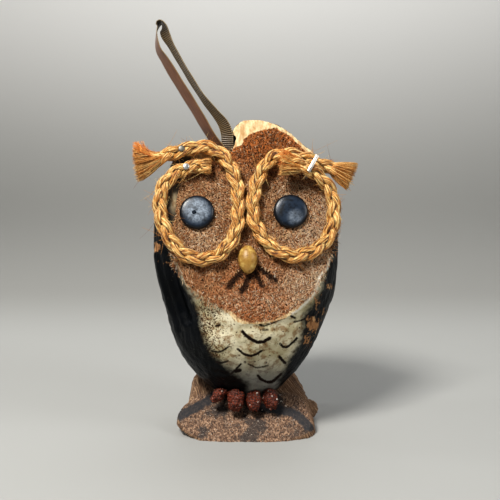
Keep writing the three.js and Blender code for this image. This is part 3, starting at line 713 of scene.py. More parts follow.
def bristle_mesh(starts, aims, bows, lengths, radii):
    """Short three-sided fibres that taper to a point: their corners, their faces, and corners to each."""
    count = len(starts)
    side = np.cross(aims, FACE_OUT) + 1e-6
    side /= np.linalg.norm(side, axis=1)[:, None]
    off = np.cross(side, aims)
    corners = np.zeros((count, 7, 3))
    for ring, share in ((0, 0.0), (1, 0.55)):
        middle = starts + (aims * share + bows * share * share) * lengths[:, None]
        for spoke in range(3):
            angle = spoke / 3 * 2 * math.pi
            reach = (radii * (1 - 0.45 * share))[:, None]
            corners[:, ring * 3 + spoke] = middle + (side * math.cos(angle) + off * math.sin(angle)) * reach
    corners[:, 6] = starts + (aims + bows) * lengths[:, None]
    faces = []
    for first in range(0, count * 7, 7):
        for a, b in ((0, 1), (1, 2), (2, 0)):
            faces.append((first + a, first + a + 3, first + b + 3, first + b))
            faces.append((first + a + 3, first + 6, first + b + 3))
        faces.append((first, first + 1, first + 2))
    return held_in_box(corners.reshape(-1, 3)), faces


def face_bristles(finish, pale_finish):
    """The cut fibres that stand and lie on the sawn face, brown ones and whitish ones."""
    tries = 26000
    right = chance.uniform(-72, 74, tries)
    up = chance.uniform(-6, 148, tries)
    feet = many_on_face(right, up, np.full(tries, -0.2))
    spots = frame_pixels(feet)
    keep = inside_outline(spots, FIBRE) > chance.uniform(-1.5, 3, tries)
    flat = np.stack([right, up], 1)
    for route in (LEFT_ROUTE, RIGHT_ROUTE):
        keep &= line_distance(flat, [p[:2] for p in route]) > 3.6
    for eye in (LEFT_EYE, RIGHT_EYE):
        keep &= np.hypot(right - eye[0], up - eye[1]) > 12.6
    keep &= line_distance(flat, [(-1, 40), (-1, 50)]) > 5.5
    feet, spots, right, up = feet[keep], spots[keep], right[keep], up[keep]
    count = len(feet)
    swirl = noise_values(feet, 55, 2) * 1.7 + noise_values(feet + 0.3, 200, 2) * 0.9
    heading = swirl + chance.normal(0, 0.45, count) - math.pi / 2
    rise = np.clip(chance.normal(0.42, 0.28, count), 0.08, 1.3)
    flat_aim = np.outer(np.cos(heading), FACE_RIGHT) + np.outer(np.sin(heading), FACE_UP)
    aims = flat_aim * np.cos(rise)[:, None] + np.outer(np.sin(rise), FACE_OUT)
    bows = chance.normal(0, 0.08, (count, 3))
    lengths = chance.uniform(1.6, 4.6, count) * MM
    radii = chance.uniform(0.11, 0.22, count) * MM
    tint = np.clip(chance.beta(2.2, 2.2, count) - 0.30 * (1 - smooth(spots[:, 1], 150, 190)), 0, 1)
    whisker = drawn_distance(spots, WHISKERS)
    tint = np.where(whisker < 0.6, tint * 0.12, tint)
    whitish = (chance.uniform(0, 1, count) < 0.14 + 0.6 * patches(spots, PALE)) & (whisker > 0.6)
    for name, chosen, material in (("face_fibres", ~whitish, finish), ("pale_face_fibres", whitish, pale_finish)):
        corners, faces = bristle_mesh(feet[chosen], aims[chosen], bows[chosen], lengths[chosen], radii[chosen])
        piece = drawn_piece(name, corners, faces, material)
        write_layer(piece, "tint", np.repeat(tint[chosen], 7))


FIBRES_MEET = 0.1       # the height that the mound's fibres spread down from


def base_piece(finish):
    piece = merged_copy("husk_base", "husk_foot")
    apply(piece, "REMESH", mode="VOXEL", voxel_size=0.0011)
    places = points_of(piece)
    flat = 1 - smooth(places[:, 2], 0.0008, 0.003)
    relax(piece, 14, flat)
    places = points_of(piece)
    normals = normals_of(piece)
    facet_out = Vector((0, -0.56, 1)).normalized()
    over = (places - np.array([0, (-52.5 + ORIGIN_SHIFT.y) * MM, 0])) @ np.array(facet_out)
    facet = smooth(over, -0.0012, -0.0005)
    under = smooth(-normals[:, 2], 0.3, 0.7)
    spread = places[:, 0] * FIBRES_MEET / (FIBRES_MEET - places[:, 2]) + 0.6 * places[:, 1]
    downhill = (places[:, 1] - places[:, 2]) * 0.1
    strands = noise_values(np.stack([spread, downhill, 0 * downhill], 1), 560)
    lumps = noise_values(places, 70)
    rough = noise_values(places, 500, 2)
    lift = (1 - facet) * (1.0 * strands + 0.9 * lumps) + facet * (0.5 * rough + 0.4 * lumps)
    lift *= (1 - flat) * (1 - under)
    places = places + normals * (lift * MM)[:, None]
    places[:, 2] = np.maximum(places[:, 2], 0)
    move_points(piece, places)
    spots = frame_pixels(places)
    write_layer(piece, "facet", facet)
    write_layer(piece, "spread", spread)
    write_layer(piece, "downhill", downhill)
    band = line_distance(spots, [(180, 416), (194, 408), (206, 402), (214, 396)])
    band = np.minimum(band, line_distance(spots, [(262, 408), (280, 410), (293, 413), (302, 419), (309, 427)]))
    write_layer(piece, "band", (band - 4.5) * PIXEL)
    piece.data.shade_smooth()
    return settle(piece, finish, ["husk_base"])


# Ropes, plaited from three strands. Routes are in mm on the sawn face: right, up, and height over it

ROPE_LIE = 4.9
LEFT_ROUTE = [
    (-81, 118), (-72, 119.5), (-60, 125), (-45, 130), (-32, 132), (-20, 128), (-12, 117), (-7, 102), (-6.4, 86),
    (-8, 70), (-14, 57), (-24, 48), (-35, 46), (-47, 50), (-57, 62), (-63, 77), (-64, 90), (-61.5, 101),
    (-54, 110.5), (-44, 115.5), (-35, 117), (-26, 117),
]
RIGHT_ROUTE = [
    (80, 108), (68, 113.5), (56, 118), (44, 122.8), (32, 126), (22, 124), (13, 114.5), (7, 101), (4.6, 88),
    (5, 75), (10, 63.5), (19, 53), (31, 47.5), (43, 49), (54, 55), (61.5, 65), (65, 79), (64.5, 92),
    (60.5, 101, 6), (54, 107.5, 8.8), (46, 112, 11.6), (36, 114.6, 13.2), (26, 116, 14),
]
STRAND_RADIUS = 2.45
PLAIT_SWING = 2.9           # how far a strand swings to either side
PLAIT_LIFT = 1.9            # how far it goes over and under
PLAIT_PITCH = 42
STRAND_SIDES = 24
ROPE_STEP = 1.1


def rope_lines(points):
    """The rope's middle and the two directions across it, with the run in mm."""
    route = smooth_route([(p[0], p[1], p[2] if len(p) > 2 else ROPE_LIE) for p in points], ROPE_STEP)
    middle = many_on_face(route[:, 0], route[:, 1], route[:, 2])
    along = directions_along(middle)
    off = np.array(FACE_OUT) - along * (along @ np.array(FACE_OUT))[:, None]
    off /= np.linalg.norm(off, axis=1)[:, None]
    run = np.concatenate([[0], np.cumsum(np.linalg.norm(np.diff(middle, axis=0), axis=1))]) / MM
    return middle, along, np.cross(off, along), off, run


def strand_lines(points, fans):
    """The middles of the three strands, opened out towards the rope's ends."""
    middle, along, side, off, run = rope_lines(points)
    (start_reach, start_wide), (end_reach, end_wide) = fans
    opened = np.maximum(start_wide * (1 - smooth(run, 0, start_reach)),
                        end_wide * (1 - smooth(run[-1] - run, 0, end_reach)))
    lines = []
    for number in range(3):
        phase = 2 * math.pi * (run / PLAIT_PITCH + number / 3)
        uneven = 1 + 0.06 * np.sin(run / 17 + number * 2.1) + 0.05 * np.sin(run / 6.3 + number)
        swing = PLAIT_SWING * np.sin(phase) * (1 + opened) * uneven
        lift = -PLAIT_LIFT * np.sin(2 * phase) * (1 - 0.25 * np.minimum(opened, 1)) * uneven
        lines.append(middle + side * (swing * MM)[:, None] + off * (lift * MM)[:, None])
    return lines, side, off, run, opened


def rope_piece(name, node_name, points, fans, finish):
    corners, faces, uvs, crevice_shade = [], [], [], []
    lines, _, off, run, opened = strand_lines(points, fans)
    angles = np.arange(STRAND_SIDES) / STRAND_SIDES * 2 * math.pi
    for number, line in enumerate(lines):
        along = directions_along(line)
        out = off - along * np.sum(off * along, axis=1)[:, None]
        out /= np.linalg.norm(out, axis=1)[:, None]
        across = np.cross(along, out)
        others = [other for other in lines if other is not line]
        first = len(corners)
        for step in range(len(line)):
            end = min(run[step], run[-1] - run[step])
            taper = min(1, (end + 1.2) / 3) ** 0.5
            twist = run[step] / 26 * 2 * math.pi
            yarns = 1 + 0.085 * np.cos(6 * angles + twist + number) + 0.035 * np.cos(11 * angles - twist * 1.7)
            reach = STRAND_RADIUS * MM * taper * (1 - 0.5 * min(opened[step], 1) ** 2) * yarns
            wide, flat = reach * 1.04, reach * 0.98
            ring = (line[step] + np.outer(np.cos(angles) * flat, out[step])
                    + np.outer(np.sin(angles) * wide, across[step]))
            corners += list(ring)
            # Painted shade: each point darkens as it nears another strand, most in the crevices between them.
            gaps = [np.linalg.norm(ring - other[step], axis=1) / MM - STRAND_RADIUS for other in others]
            crevice_shade += list(1 - smooth(np.minimum(*gaps), -0.3, 1.9))
        rings = len(line)
        for step in range(rings - 1):
            for spoke in range(STRAND_SIDES):
                a = first + step * STRAND_SIDES + spoke
                b = first + step * STRAND_SIDES + (spoke + 1) % STRAND_SIDES
                faces.append((a, b, b + STRAND_SIDES, a + STRAND_SIDES))
                u0, u1 = run[step] * MM, run[step + 1] * MM
                v0, v1 = (spoke / STRAND_SIDES + number) * 0.016, ((spoke + 1) / STRAND_SIDES + number) * 0.016
                uvs += [(u0, v0 + 0.3 * u0), (u0, v1 + 0.3 * u0), (u1, v1 + 0.3 * u1), (u1, v0 + 0.3 * u1)]
        faces.append(tuple(first + spoke for spoke in reversed(range(STRAND_SIDES))))
        last = first + (rings - 1) * STRAND_SIDES
        faces.append(tuple(last + spoke for spoke in range(STRAND_SIDES)))
        uvs += [(0, 0)] * (2 * STRAND_SIDES)
    piece = drawn_piece(name, corners, faces, finish, [node_name])
    piece.data.uv_layers.new(name="along").data.foreach_set("uv", np.array(uvs, np.float32).ravel())
    write_layer(piece, "crevice_shade", crevice_shade)
    return piece


def rope_finish():
    """Golden plant fibre, streaked along the strands, with painted shade where they cross."""
    material, tree, shader = new_material("rope")
    fibres = place_group(tree, "lengthwise_fibres", length_scale=120, width_scale=950, low=0.38, high=0.62)
    colour = place_group(tree, "three_tones", value=fibres["mask"], dark=srgb(84, 42, 13),
                         middle=srgb(208, 142, 62), light=srgb(255, 228, 156), light_from=0.45)["colour"]
    colour = place_group(tree, "stain", colour=colour, stain=srgb(184, 104, 36), amount=0.35, scale=150,
                         low=0.48, high=0.7)["colour"]
    # Painted shade in the crevices where the strands cross.
    colour = mix(tree, fade(tree, layer(tree, "crevice_shade"), 0.05, 0.85, 0, 0.94), colour, srgb(52, 24, 7))
    tree.links.new(colour, shader.inputs["Base Color"])
    shader.inputs["Roughness"].default_value = 0.55
    shader.inputs["Sheen Weight"].default_value = 0.12
    relief(tree, shader, fibres["raw"], 1.0, 0.0014)
    return material


def hair_mesh(hairs):
    """Thin tapered three-sided fibres: each is its points, its radius in metres and its tint."""
    corners, faces, tint = [], [], []
    for line, radius, shade in hairs:
        line = held_in_box(np.array(line))
        along = directions_along(line)
        side = np.cross(along, np.array(FACE_OUT) + 1e-3)
        side /= np.linalg.norm(side, axis=1)[:, None]
        off = np.cross(side, along)
        first = len(corners)
        count = len(line)
        for step in range(count):
            reach = radius * (1 - 0.6 * step / (count - 1))
            for spoke in range(3):
                angle = 2 * math.pi * spoke / 3
                corners.append(line[step] + side[step] * reach * math.cos(angle)
                               + off[step] * reach * math.sin(angle))
                tint.append(shade)
        for step in range(count - 1):
            for spoke in range(3):
                a = first + step * 3 + spoke
                b = first + step * 3 + (spoke + 1) % 3
                faces.append((a, a + 3, b + 3, b))
        faces.append((first, first + 1, first + 2))
        end = first + 3 * (count - 1)
        faces.append((end + 2, end + 1, end))
    return corners, faces, tint


def hair_piece(name, hairs, finish):
    corners, faces, tint = hair_mesh(hairs)
    piece = drawn_piece(name, corners, faces, finish)
    write_layer(piece, "tint", tint)
    return piece


def loose_fibres(name, points, fans, count, finish):
    """Short fibres that stand off the rope."""
    hairs = []
    lines, _, _, _, _ = strand_lines(points, fans)
    middle = sum(lines) / 3
    for _ in range(count):
        line = random.choice(lines)
        start = random.randrange(4, len(line) - 4)
        outward = line[start] - middle[start] + np.array(FACE_OUT) * 0.6 * MM
        outward /= np.linalg.norm(outward)
        if outward @ np.array(FACE_OUT) < -0.35:
            continue
        along = directions_along(line)[start] * random.choice((-1, 1))
        length = random.uniform(2, 5) if random.random() < 0.8 else random.uniform(5, 12)
        lean = random.uniform(0.15, 1.0)
        sway = np.array([random.gauss(0, 0.3) for _ in range(3)])
        spot = line[start] + outward * STRAND_RADIUS * MM * 0.85
        path = [spot + (along * share + outward * lean * share ** 1.4 + sway * share ** 2) * length * MM
                for share in np.linspace(0, 1, 6)]
        hairs.append((path, random.uniform(0.09, 0.17) * MM, random.random()))
    return hair_piece(name, hairs, finish)


def brush(name, points, at_start, reach, wide, thick, count, finish, shift=(0, 0), ragged=0.06, root=0.9):
    """A rope end opened into a dense brush of fibres, cut off square."""
    middle, along, side, off, _ = rope_lines(points)
    if at_start:
        along = -along
    else:
        middle, along, side, off = middle[::-1], along[::-1], side[::-1], off[::-1]
    foot = min(len(middle) - 1, round(reach / ROPE_STEP * root))
    hairs = []
    for _ in range(count):
        angle = random.uniform(0, 2 * math.pi)
        far = random.random() ** 0.4
        across, over = math.cos(angle) * far, math.sin(angle) * far
        begin = middle[foot] + (side[foot] * across * 4.6 + off[foot] * over * 3.6) * MM
        end = (middle[0] + (side[0] * across * wide + off[0] * over * thick + np.array(FACE_RIGHT) * shift[0]
                            + np.array(FACE_UP) * shift[1]) * MM
               + along[0] * random.gauss(0, ragged) * reach * MM)
        sway = np.array([random.gauss(0, 0.5) for _ in range(3)]) * MM
        halfway = middle[foot // 2] + (side[foot // 2] * across * (4.6 + wide) / 2
                                       + off[foot // 2] * over * (3.6 + thick) / 2) * MM
        path = []
        for share in np.linspace(0, 1, 7):
            path.append(begin * (1 - share) ** 2 + halfway * 2 * share * (1 - share) + end * share ** 2
                        + sway * math.sin(share * math.pi))
        hairs.append((path, random.uniform(0.16, 0.36) * MM, random.random()))
    return hair_piece(name, hairs, finish)


# Eyes, beak, toes and fastenings

LEFT_EYE = (-36.8, 82.2)
RIGHT_EYE = (33.1, 82.2)
PIN_HOLE = (-2.2, -0.8)
UPPER_NAIL = (-47.5, 129.2)
LOWER_NAIL = (-44.4, 115.3)


def disc_finish(name, seat, bloom_at, bloom_wide, strength):
    """Dark blue-black gloss with a pale bloom of dust, and painted shade darkening the rolled rim."""
    material, tree, shader = new_material(name)
    fine = grain(tree, 700, 0.66, 0.74, 5)
    blotch = grain(tree, 240, 0.3, 0.62)
    place = node(tree, "ShaderNodeTexCoord").outputs["Object"]
    away = node(tree, "ShaderNodeVectorMath", {0: place, 1: tuple(bloom_at)}, operation="DISTANCE").outputs["Value"]
    bloom = fade(tree, away, bloom_wide * 0.3, bloom_wide, strength, 0)
    bloom = reckon(tree, "MULTIPLY", bloom, fade(tree, blotch["raw"], 0.3, 0.62, 0.3, 1))
    bloom = reckon(tree, "MULTIPLY", bloom, fade(tree, fine["raw"], 0.36, 0.62, 0.45, 1.15))
    colour = mix(tree, blotch["mask"], srgb(10, 15, 22), srgb(36, 48, 64))
    colour = mix(tree, bloom, colour, srgb(150, 162, 176))
    # Painted shade: the colour darkens towards the rolled rim, which turns away from the light.
    middle = tuple(on_face(*seat, 3))
    from_middle = node(tree, "ShaderNodeVectorMath", {0: place, 1: middle}, operation="DISTANCE").outputs["Value"]
    colour = mix(tree, fade(tree, from_middle, 9.5 * MM, 12 * MM, 0, 0.85), colour, srgb(12, 16, 22))
    colour = mix(tree, reckon(tree, "MULTIPLY", fine["mask"], 0.6), colour, srgb(150, 156, 162))
    tree.links.new(colour, shader.inputs["Base Color"])
    tree.links.new(fade(tree, bloom, 0, 0.6, 0.32, 0.6), shader.inputs["Roughness"])
    shader.inputs["Specular IOR Level"].default_value = 0.4
    relief(tree, shader, fine["raw"], 0.25, 0.0004)
    return material


def eye_piece(name, node_name, seat, finish, hole=None):
    """A low domed disc with a soft rolled edge, and a pin hole where it has one."""
    bpy.ops.object.select_all(action="DESELECT")
    bpy.ops.mesh.primitive_cylinder_add(vertices=72, radius=12.9 * MM, depth=2.6 * MM, location=(0, 0, 1.6 * MM))
    piece = bpy.context.object
    piece.name = name
    bpy.ops.object.transform_apply(location=True)
    top = max(piece.data.polygons, key=lambda face: face.center.z).index
    start_edit(piece, [top])
    for inward, upward in ((1.7, 1.0), (2.7, 0.6), (3.3, 0.3), (2.4, 0.1)):
        bpy.ops.mesh.inset(thickness=inward * MM, depth=upward * MM)
    bpy.ops.object.mode_set(mode="OBJECT")
    apply(piece, "BEVEL", width=1.2 * MM, segments=5, angle_limit=math.radians(50))
    apply(piece, "SUBSURF", levels=1, render_levels=1)
    if hole:
        bpy.ops.object.select_all(action="DESELECT")
        bpy.ops.mesh.primitive_cylinder_add(vertices=24, radius=1.7 * MM, depth=6 * MM,
                                            location=(hole[0] * MM, hole[1] * MM, 5.2 * MM))
        drill = bpy.context.object
        apply(piece, "BOOLEAN", operation="DIFFERENCE", object=drill, solver="EXACT")
        bpy.data.objects.remove(drill)
    seat_on_face(piece, *seat)
    pick(piece)
    bpy.ops.object.shade_smooth_by_angle(angle=math.radians(45))
    return settle(piece, finish, [node_name])


def seed_finish():
    material, tree, shader = new_material("seed")
    fine = grain(tree, 1400, 0.62, 0.7, 3)
    blotch = grain(tree, 240, 0.3, 0.7)
    colour = place_group(tree, "three_tones", value=blotch["mask"], dark=srgb(116, 78, 30),
                         middle=srgb(166, 128, 62), light=srgb(202, 172, 100))["colour"]
    colour = mix(tree, reckon(tree, "MULTIPLY", fine["mask"], 0.6), colour, srgb(118, 80, 36))
    tree.links.new(colour, shader.inputs["Base Color"])
    shader.inputs["Roughness"].default_value = 0.4
    relief(tree, shader, fine["raw"], 0.3, 0.0004)
    return material


def beak_piece(finish):
    """A pointed seed, pinched towards its lower end and flat where it is glued on."""
    bpy.ops.object.select_all(action="DESELECT")
    bpy.ops.mesh.primitive_uv_sphere_add(segments=48, ring_count=32, radius=1, location=(0, 0, 0))
    piece = bpy.context.object
    piece.name = "beak"
    places = points_of(piece)
    pinch = 1 - 0.16 * smooth(-places[:, 1], 0, 1)
    places[:, 0] *= pinch * 7.1
    places[:, 2] *= pinch * 6.4
    places[:, 1] *= 10.6
    places[:, 2] = np.maximum(places[:, 2] + 4.5, 0.3)
    places *= MM
    move_points(piece, places)
    wobble = noise_values(places, 160) * 0.25 * MM
    places[:, :2] += normals_of(piece)[:, :2] * wobble[:, None]
    move_points(piece, places)
    seat_on_face(piece, -0.5, 45.2)
    piece.data.shade_smooth()
    return settle(piece, finish, ["beak_seed"])


def toe_finish():
    """Red-brown pile soaked in glue, with painted glints as small white specks."""
    material, tree, shader = new_material("toe_pile")
    fine = grain(tree, 1100, 0.35, 0.62)
    colour = place_group(tree, "three_tones", value=fine["mask"], dark=srgb(18, 5, 2), middle=srgb(74, 26, 12),
                         light=srgb(152, 68, 36))["colour"]
    # Painted glints: small white specks over the pile.
    colour = place_group(tree, "stain", colour=colour, stain=srgb(236, 224, 212), amount=1.0, scale=420,
                         low=0.72, high=0.74)["colour"]
    tree.links.new(colour, shader.inputs["Base Color"])
    shader.inputs["Roughness"].default_value = 0.34
    shader.inputs["Coat Weight"].default_value = 0.15
    relief(tree, shader, fine["raw"], 0.8, 0.0011)
    return material


def toe_piece(node_name, finish):
    piece = merged_copy(node_name, node_name.replace("toe", "claw"))
    apply(piece, "REMESH", mode="VOXEL", voxel_size=0.00042)
    relax(piece, 18, np.zeros(len(piece.data.vertices)))
    places = points_of(piece)
    lumps = noise_values(places, 330, 4) * 1.1 + noise_values(places, 1300, 3) * 0.75
    move_points(piece, places + normals_of(piece) * (lumps * MM - 0.1 * MM)[:, None])
    piece.data.shade_smooth()
    return settle(piece, finish, [node_name])


# Beads of dried glue on the toes and the base, by place in the frame and by size in mm
GLUE = [
    (222, 391, 0.7), (226, 389, 0.5), (233, 388, 0.6), (238, 386, 0.8), (243, 390, 0.5), (247, 396, 0.5),
    (252, 389, 0.6), (257, 393, 0.9), (261, 388, 0.6), (263, 398, 0.5), (268, 391, 0.6), (272, 396, 0.8),
    (277, 399, 0.7), (281, 401, 0.6), (280, 395, 0.5), (258, 402, 0.6), (250, 405, 0.5), (240, 405, 0.5),
    (262, 410, 0.5), (236, 412, 0.5), (270, 409, 0.6), (226, 404, 0.5), (246, 414, 0.4), (286, 406, 0.6),
    (258, 421, 0.4), (278, 418, 0.5), (294, 420, 0.4), (215, 410, 0.4), (230, 424, 0.4), (244, 428, 0.4),
]


def glue_beads(carriers):
    """Small flattened drops where a line of sight meets the toes or the base."""
    trees = [BVHTree.FromPolygons([v.co for v in piece.data.vertices],
                                  [tuple(face.vertices) for face in piece.data.polygons]) for piece in carriers]
    bpy.ops.object.select_all(action="DESELECT")
    bpy.ops.mesh.primitive_ico_sphere_add(subdivisions=2, radius=1, location=(0, 0, 0))
    first = bpy.context.object
    drops = []
    turn = Matrix.Rotation(-VIEW_DOWN, 3, "X")
    for x, y, size in GLUE:
        sight = turn @ Vector(((x - FRAME_WIDTH / 2) / FOCAL, 1, (FRAME_WIDTH / 2 - y) / FOCAL))
        hits = [hit for hit in (tree.ray_cast(VIEWPOINT, sight.normalized()) for tree in trees) if hit[0]]
        if not hits:
            continue
        spot, normal, _, _ = min(hits, key=lambda hit: hit[3])
        drop = first.copy()
        drop.data = first.data.copy()
        bpy.context.collection.objects.link(drop)
        upright = normal.to_track_quat("Z", "Y").to_matrix().to_4x4()
        drop.data.transform(Matrix.Diagonal((size * MM, size * MM, size * 0.55 * MM, 1)))
        drop.data.transform(Matrix.Translation(spot) @ upright)
        drops.append(drop)
    bpy.data.objects.remove(first)
    bpy.ops.object.select_all(action="DESELECT")
    for drop in drops:
        drop.select_set(True)
    bpy.context.view_layer.objects.active = drops[0]
    bpy.ops.object.join()
    beads = bpy.context.object
    beads.name = "glue_beads"
    beads.data.shade_smooth()
    material, _, shader = new_material("dried_glue")
    shader.inputs["Base Color"].default_value = srgb(222, 212, 200)
    shader.inputs["Roughness"].default_value = 0.12
    shader.inputs["Coat Weight"].default_value = 0.6
    return settle(beads, material)


def steel_finish(name, colour, roughness):
    material, tree, shader = new_material(name)
    colour = place_group(tree, "stain", colour=colour, stain=srgb(84, 76, 66), amount=0.5, scale=260,
                         low=0.45, high=0.8)["colour"]
    tarnish = grain(tree, 700, 0.3, 0.8)
    tree.links.new(colour, shader.inputs["Base Color"])
    shader.inputs["Metallic"].default_value = 0.85
    tree.links.new(fade(tree, tarnish["raw"], 0.3, 0.8, roughness, roughness + 0.25), shader.inputs["Roughness"])
    relief(tree, shader, tarnish["raw"], 0.05, 0.0002)
    return material


def nail_piece(name, node_name, seat, finish):
    """A round nail with a domed head, pressed into the rope."""
    bpy.ops.object.select_all(action="DESELECT")
    bpy.ops.mesh.primitive_cylinder_add(vertices=32, radius=2.4 * MM, depth=0.9 * MM, location=(0, 0, 9.3 * MM))
    piece = bpy.context.object
    piece.name = name
    bpy.ops.object.transform_apply(location=True)
    top = max(piece.data.polygons, key=lambda face: face.center.z).index
    start_edit(piece, [top])
    bpy.ops.mesh.inset(thickness=0.45 * MM, depth=0.28 * MM)
    bpy.ops.mesh.inset(thickness=0.8 * MM, depth=0.18 * MM)
    bpy.ops.object.mode_set(mode="OBJECT")
    underside = min(piece.data.polygons, key=lambda face: face.center.z).index
    start_edit(piece, [underside])
    bpy.ops.mesh.inset(thickness=1.4 * MM, depth=0)
    bpy.ops.mesh.extrude_region_move(TRANSFORM_OT_translate={"value": (0, 0, -15.4 * MM)})
    bpy.ops.object.mode_set(mode="OBJECT")
    apply(piece, "BEVEL", width=0.22 * MM, segments=3, angle_limit=math.radians(40))
    seat_on_face(piece, *seat)
    pick(piece)
    bpy.ops.object.shade_smooth_by_angle(angle=math.radians(50))
    return settle(piece, finish, [node_name])


def staple_piece(finish):
    piece = merged_copy("brow_staple", "staple")
    apply(piece, "BEVEL", width=0.35 * MM, segments=3, angle_limit=math.radians(40))
    pick(piece)
    bpy.ops.object.shade_smooth_by_angle(angle=math.radians(50))
    return settle(piece, finish, ["brow_staple"])


# The ribbon: x, y and z in mm, and how far its flat side is turned, in degrees

RIBBON_WIDTH = 9.6
RIBBON_HALF_THICK = 0.28
RIBBON_STEP = 1.2
RIBBON_ROUTE = [
    (-18.5, 4, 217.5, 42), (-25.3, 4, 226.5, 42), (-38.9, 4, 249.2, 40), (-53.8, 4, 273.2, 42),
    (-61.4, 4, 285.8, 48), (-66, 4, 293.2, 62), (-67.4, 4, 301, 74), (-66.8, 4, 308, 86), (-64.4, 3, 312, 100),
    (-62, 0, 309.5, 128), (-60.2, -1, 304, 138), (-55.6, -1, 295.2, 122), (-44, -1, 275.2, 118),
    (-32.5, -1, 257.4, 120), (-23.1, -1, 245.8, 132), (-17.2, -1, 238, 148), (-14.6, -1, 230.5, 160),
    (-14.2, 0, 224, 160), (-13.6, 1, 217.5, 150),
]


def ribbon_finish():
    """Red-brown satin on one side, ribbed olive-brown on the other, with painted shade in the tight fold at the top
    of the loop.
    """
    material, tree, shader = new_material("ribbon")
    threads = place_group(tree, "lengthwise_fibres", length_scale=90, width_scale=2400, low=0.3, high=0.7)
    place = node(tree, "ShaderNodeTexCoord").outputs["UV"]
    ribs = node(tree, "ShaderNodeTexWave", {"Vector": place, "Scale": 210.0, "Distortion": 0.5},
                bands_direction="X").outputs["Fac"]
    ribbed_side = layer(tree, "ribbed")
    satin = mix(tree, threads["mask"], srgb(74, 44, 28), srgb(124, 82, 54))
    ribbed = mix(tree, ribs, srgb(50, 40, 26), srgb(122, 100, 66))
    colour = mix(tree, ribbed_side, satin, ribbed)
    # Painted shade darkens the tight fold at the top of the loop.
    colour = mix(tree, reckon(tree, "MULTIPLY", layer(tree, "fold_shade"), 0.75), colour, srgb(20, 14, 10))
    selvage = fade(tree, layer(tree, "selvage"), 0.86, 0.98, 0, 0.55)
    colour = mix(tree, selvage, colour, srgb(170, 148, 104))
    tree.links.new(colour, shader.inputs["Base Color"])
    shader.inputs["Roughness"].default_value = 0.42
    shader.inputs["Sheen Weight"].default_value = 0.2
    relief(tree, shader, reckon(tree, "MULTIPLY", ribs, ribbed_side), 0.8, 0.0006)
    return material


def ribbon_piece(finish):
    points = [(x + ORIGIN_SHIFT.x, y + ORIGIN_SHIFT.y, z, turn / 4) for x, y, z, turn in RIBBON_ROUTE]
    route = smooth_route(points, RIBBON_STEP)
    line = route[:, :3] * MM
    turns = np.radians(route[:, 3] * 4)
    along = directions_along(line)
    facing = np.cross(along, [0, 1, 0])
    facing /= np.linalg.norm(facing, axis=1)[:, None]
    across = facing * np.cos(turns)[:, None] + np.cross(facing, along) * np.sin(turns)[:, None]
    off = np.cross(along, across)
    columns = np.linspace(-1, 1, 13)
    around = [(column, 1) for column in columns] + [(column, -1) for column in columns[::-1]]
    corners, faces, ribbed, selvage, fold_shade, uvs = [], [], [], [], [], []
    for step in range(len(line)):
        for column, face_side in around:
            dip = 0.25 * (1 - column * column) + 0.12 * math.sin(step * 0.35) * column
            corners.append(line[step] + (across[step] * column * RIBBON_WIDTH / 2
                                         + off[step] * (dip + face_side * RIBBON_HALF_THICK)) * MM)
            ribbed.append(face_side < 0)
            selvage.append(abs(column))
            # Painted shade at the top of the loop, above 300 mm.
            fold_shade.append(smooth(route[step, 2], 300, 309))
    sides = len(around)
    for step in range(len(line) - 1):
        for k in range(sides):
            a = step * sides + k
            b = step * sides + (k + 1) % sides
            faces.append((a, a + sides, b + sides, b))
            u0, u1 = step * RIBBON_STEP * MM, (step + 1) * RIBBON_STEP * MM
            v0, v1 = k * 0.8 * MM, (k + 1) * 0.8 * MM
            uvs += [(u0, v0), (u1, v0), (u1, v1), (u0, v1)]
    faces.append(tuple(range(sides)))
    faces.append(tuple((len(line) - 1) * sides + k for k in reversed(range(sides))))
    uvs += [(0, 0)] * (2 * sides)
    piece = drawn_piece("ribbon", corners, faces, finish, ["ribbon_loop"])
    piece.data.uv_layers.new(name="along").data.foreach_set("uv", np.array(uvs, np.float32).ravel())
    write_layer(piece, "ribbed", ribbed)
    write_layer(piece, "selvage", selvage)
    write_layer(piece, "fold_shade", fold_shade)
    return piece


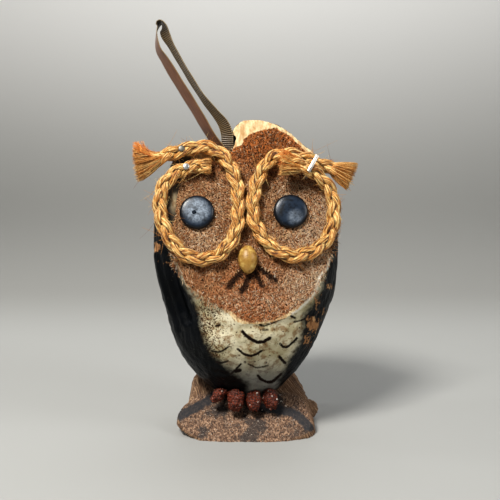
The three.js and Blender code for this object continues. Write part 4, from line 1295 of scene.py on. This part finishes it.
def main():
    make_camera()
    make_shared_groups()
    ribbon_piece(ribbon_finish())
    make_studio()
    husk_piece(husk_finish())
    base = base_piece(base_finish())
    face_bristles(fibre_finish("face_fibre", srgb(28, 14, 8), srgb(182, 120, 72), srgb(255, 216, 164)),
                  fibre_finish("pale_fibre", srgb(170, 138, 104), srgb(232, 210, 178), srgb(255, 248, 234)))
    rope = rope_finish()
    golden = fibre_finish("golden_fibre", srgb(104, 56, 20), srgb(206, 142, 68), srgb(254, 222, 150))
    orange = fibre_finish("orange_fibre", srgb(140, 66, 16), srgb(216, 130, 50), srgb(252, 190, 100))
    left_fans, right_fans = ((20, 1.3), (8, 0.25)), ((18, 1.1), (14, 1.0))
    rope_piece("left_rope", "left_eye_rope", LEFT_ROUTE, left_fans, rope)
    rope_piece("right_rope", "right_eye_rope", RIGHT_ROUTE, right_fans, rope)
    loose_fibres("left_rope_fibres", LEFT_ROUTE, left_fans, 800, golden)
    loose_fibres("right_rope_fibres", RIGHT_ROUTE, right_fans, 800, golden)
    brush("left_tail", LEFT_ROUTE, True, 20, 13.2, 4.2, 760, golden)
    brush("left_tail_tuft", LEFT_ROUTE, True, 22, 6.5, 3.0, 320, orange, (1, 12.5), 0.12)
    brush("left_short_end", LEFT_ROUTE, False, 8, 6.2, 4.0, 260, golden)
    brush("right_tail", RIGHT_ROUTE, True, 18, 12.0, 3.8, 640, golden)
    brush("right_inner_end", RIGHT_ROUTE, False, 15, 10.0, 3.6, 420, golden, root=1.1)
    brush("right_inner_tuft", RIGHT_ROUTE, False, 15, 8.0, 3.2, 300, orange, (1, 4), 0.14, 1.1)
    eye_piece("left_eye", "left_eye_disc", LEFT_EYE,
              disc_finish("left_eye_gloss", LEFT_EYE, on_face(-36.5, 83, 4), 12 * MM, 1.0), PIN_HOLE)
    eye_piece("right_eye", "right_eye_disc", RIGHT_EYE,
              disc_finish("right_eye_gloss", RIGHT_EYE, on_face(36, 77, 4), 8 * MM, 0.45))
    beak_piece(seed_finish())
    toes = toe_finish()
    names = ("left_outer_toe", "left_inner_toe", "right_inner_toe", "right_outer_toe")
    glue_beads([toe_piece(name, toes) for name in names] + [base])
    nail_piece("upper_nail", "upper_brow_nail", UPPER_NAIL, steel_finish("dull_steel", srgb(120, 118, 112), 0.4))
    nail_piece("lower_nail", "lower_brow_nail", LOWER_NAIL, steel_finish("bright_steel", srgb(205, 208, 208), 0.25))
    staple_piece(steel_finish("staple_steel", srgb(225, 222, 214), 0.35))


main()
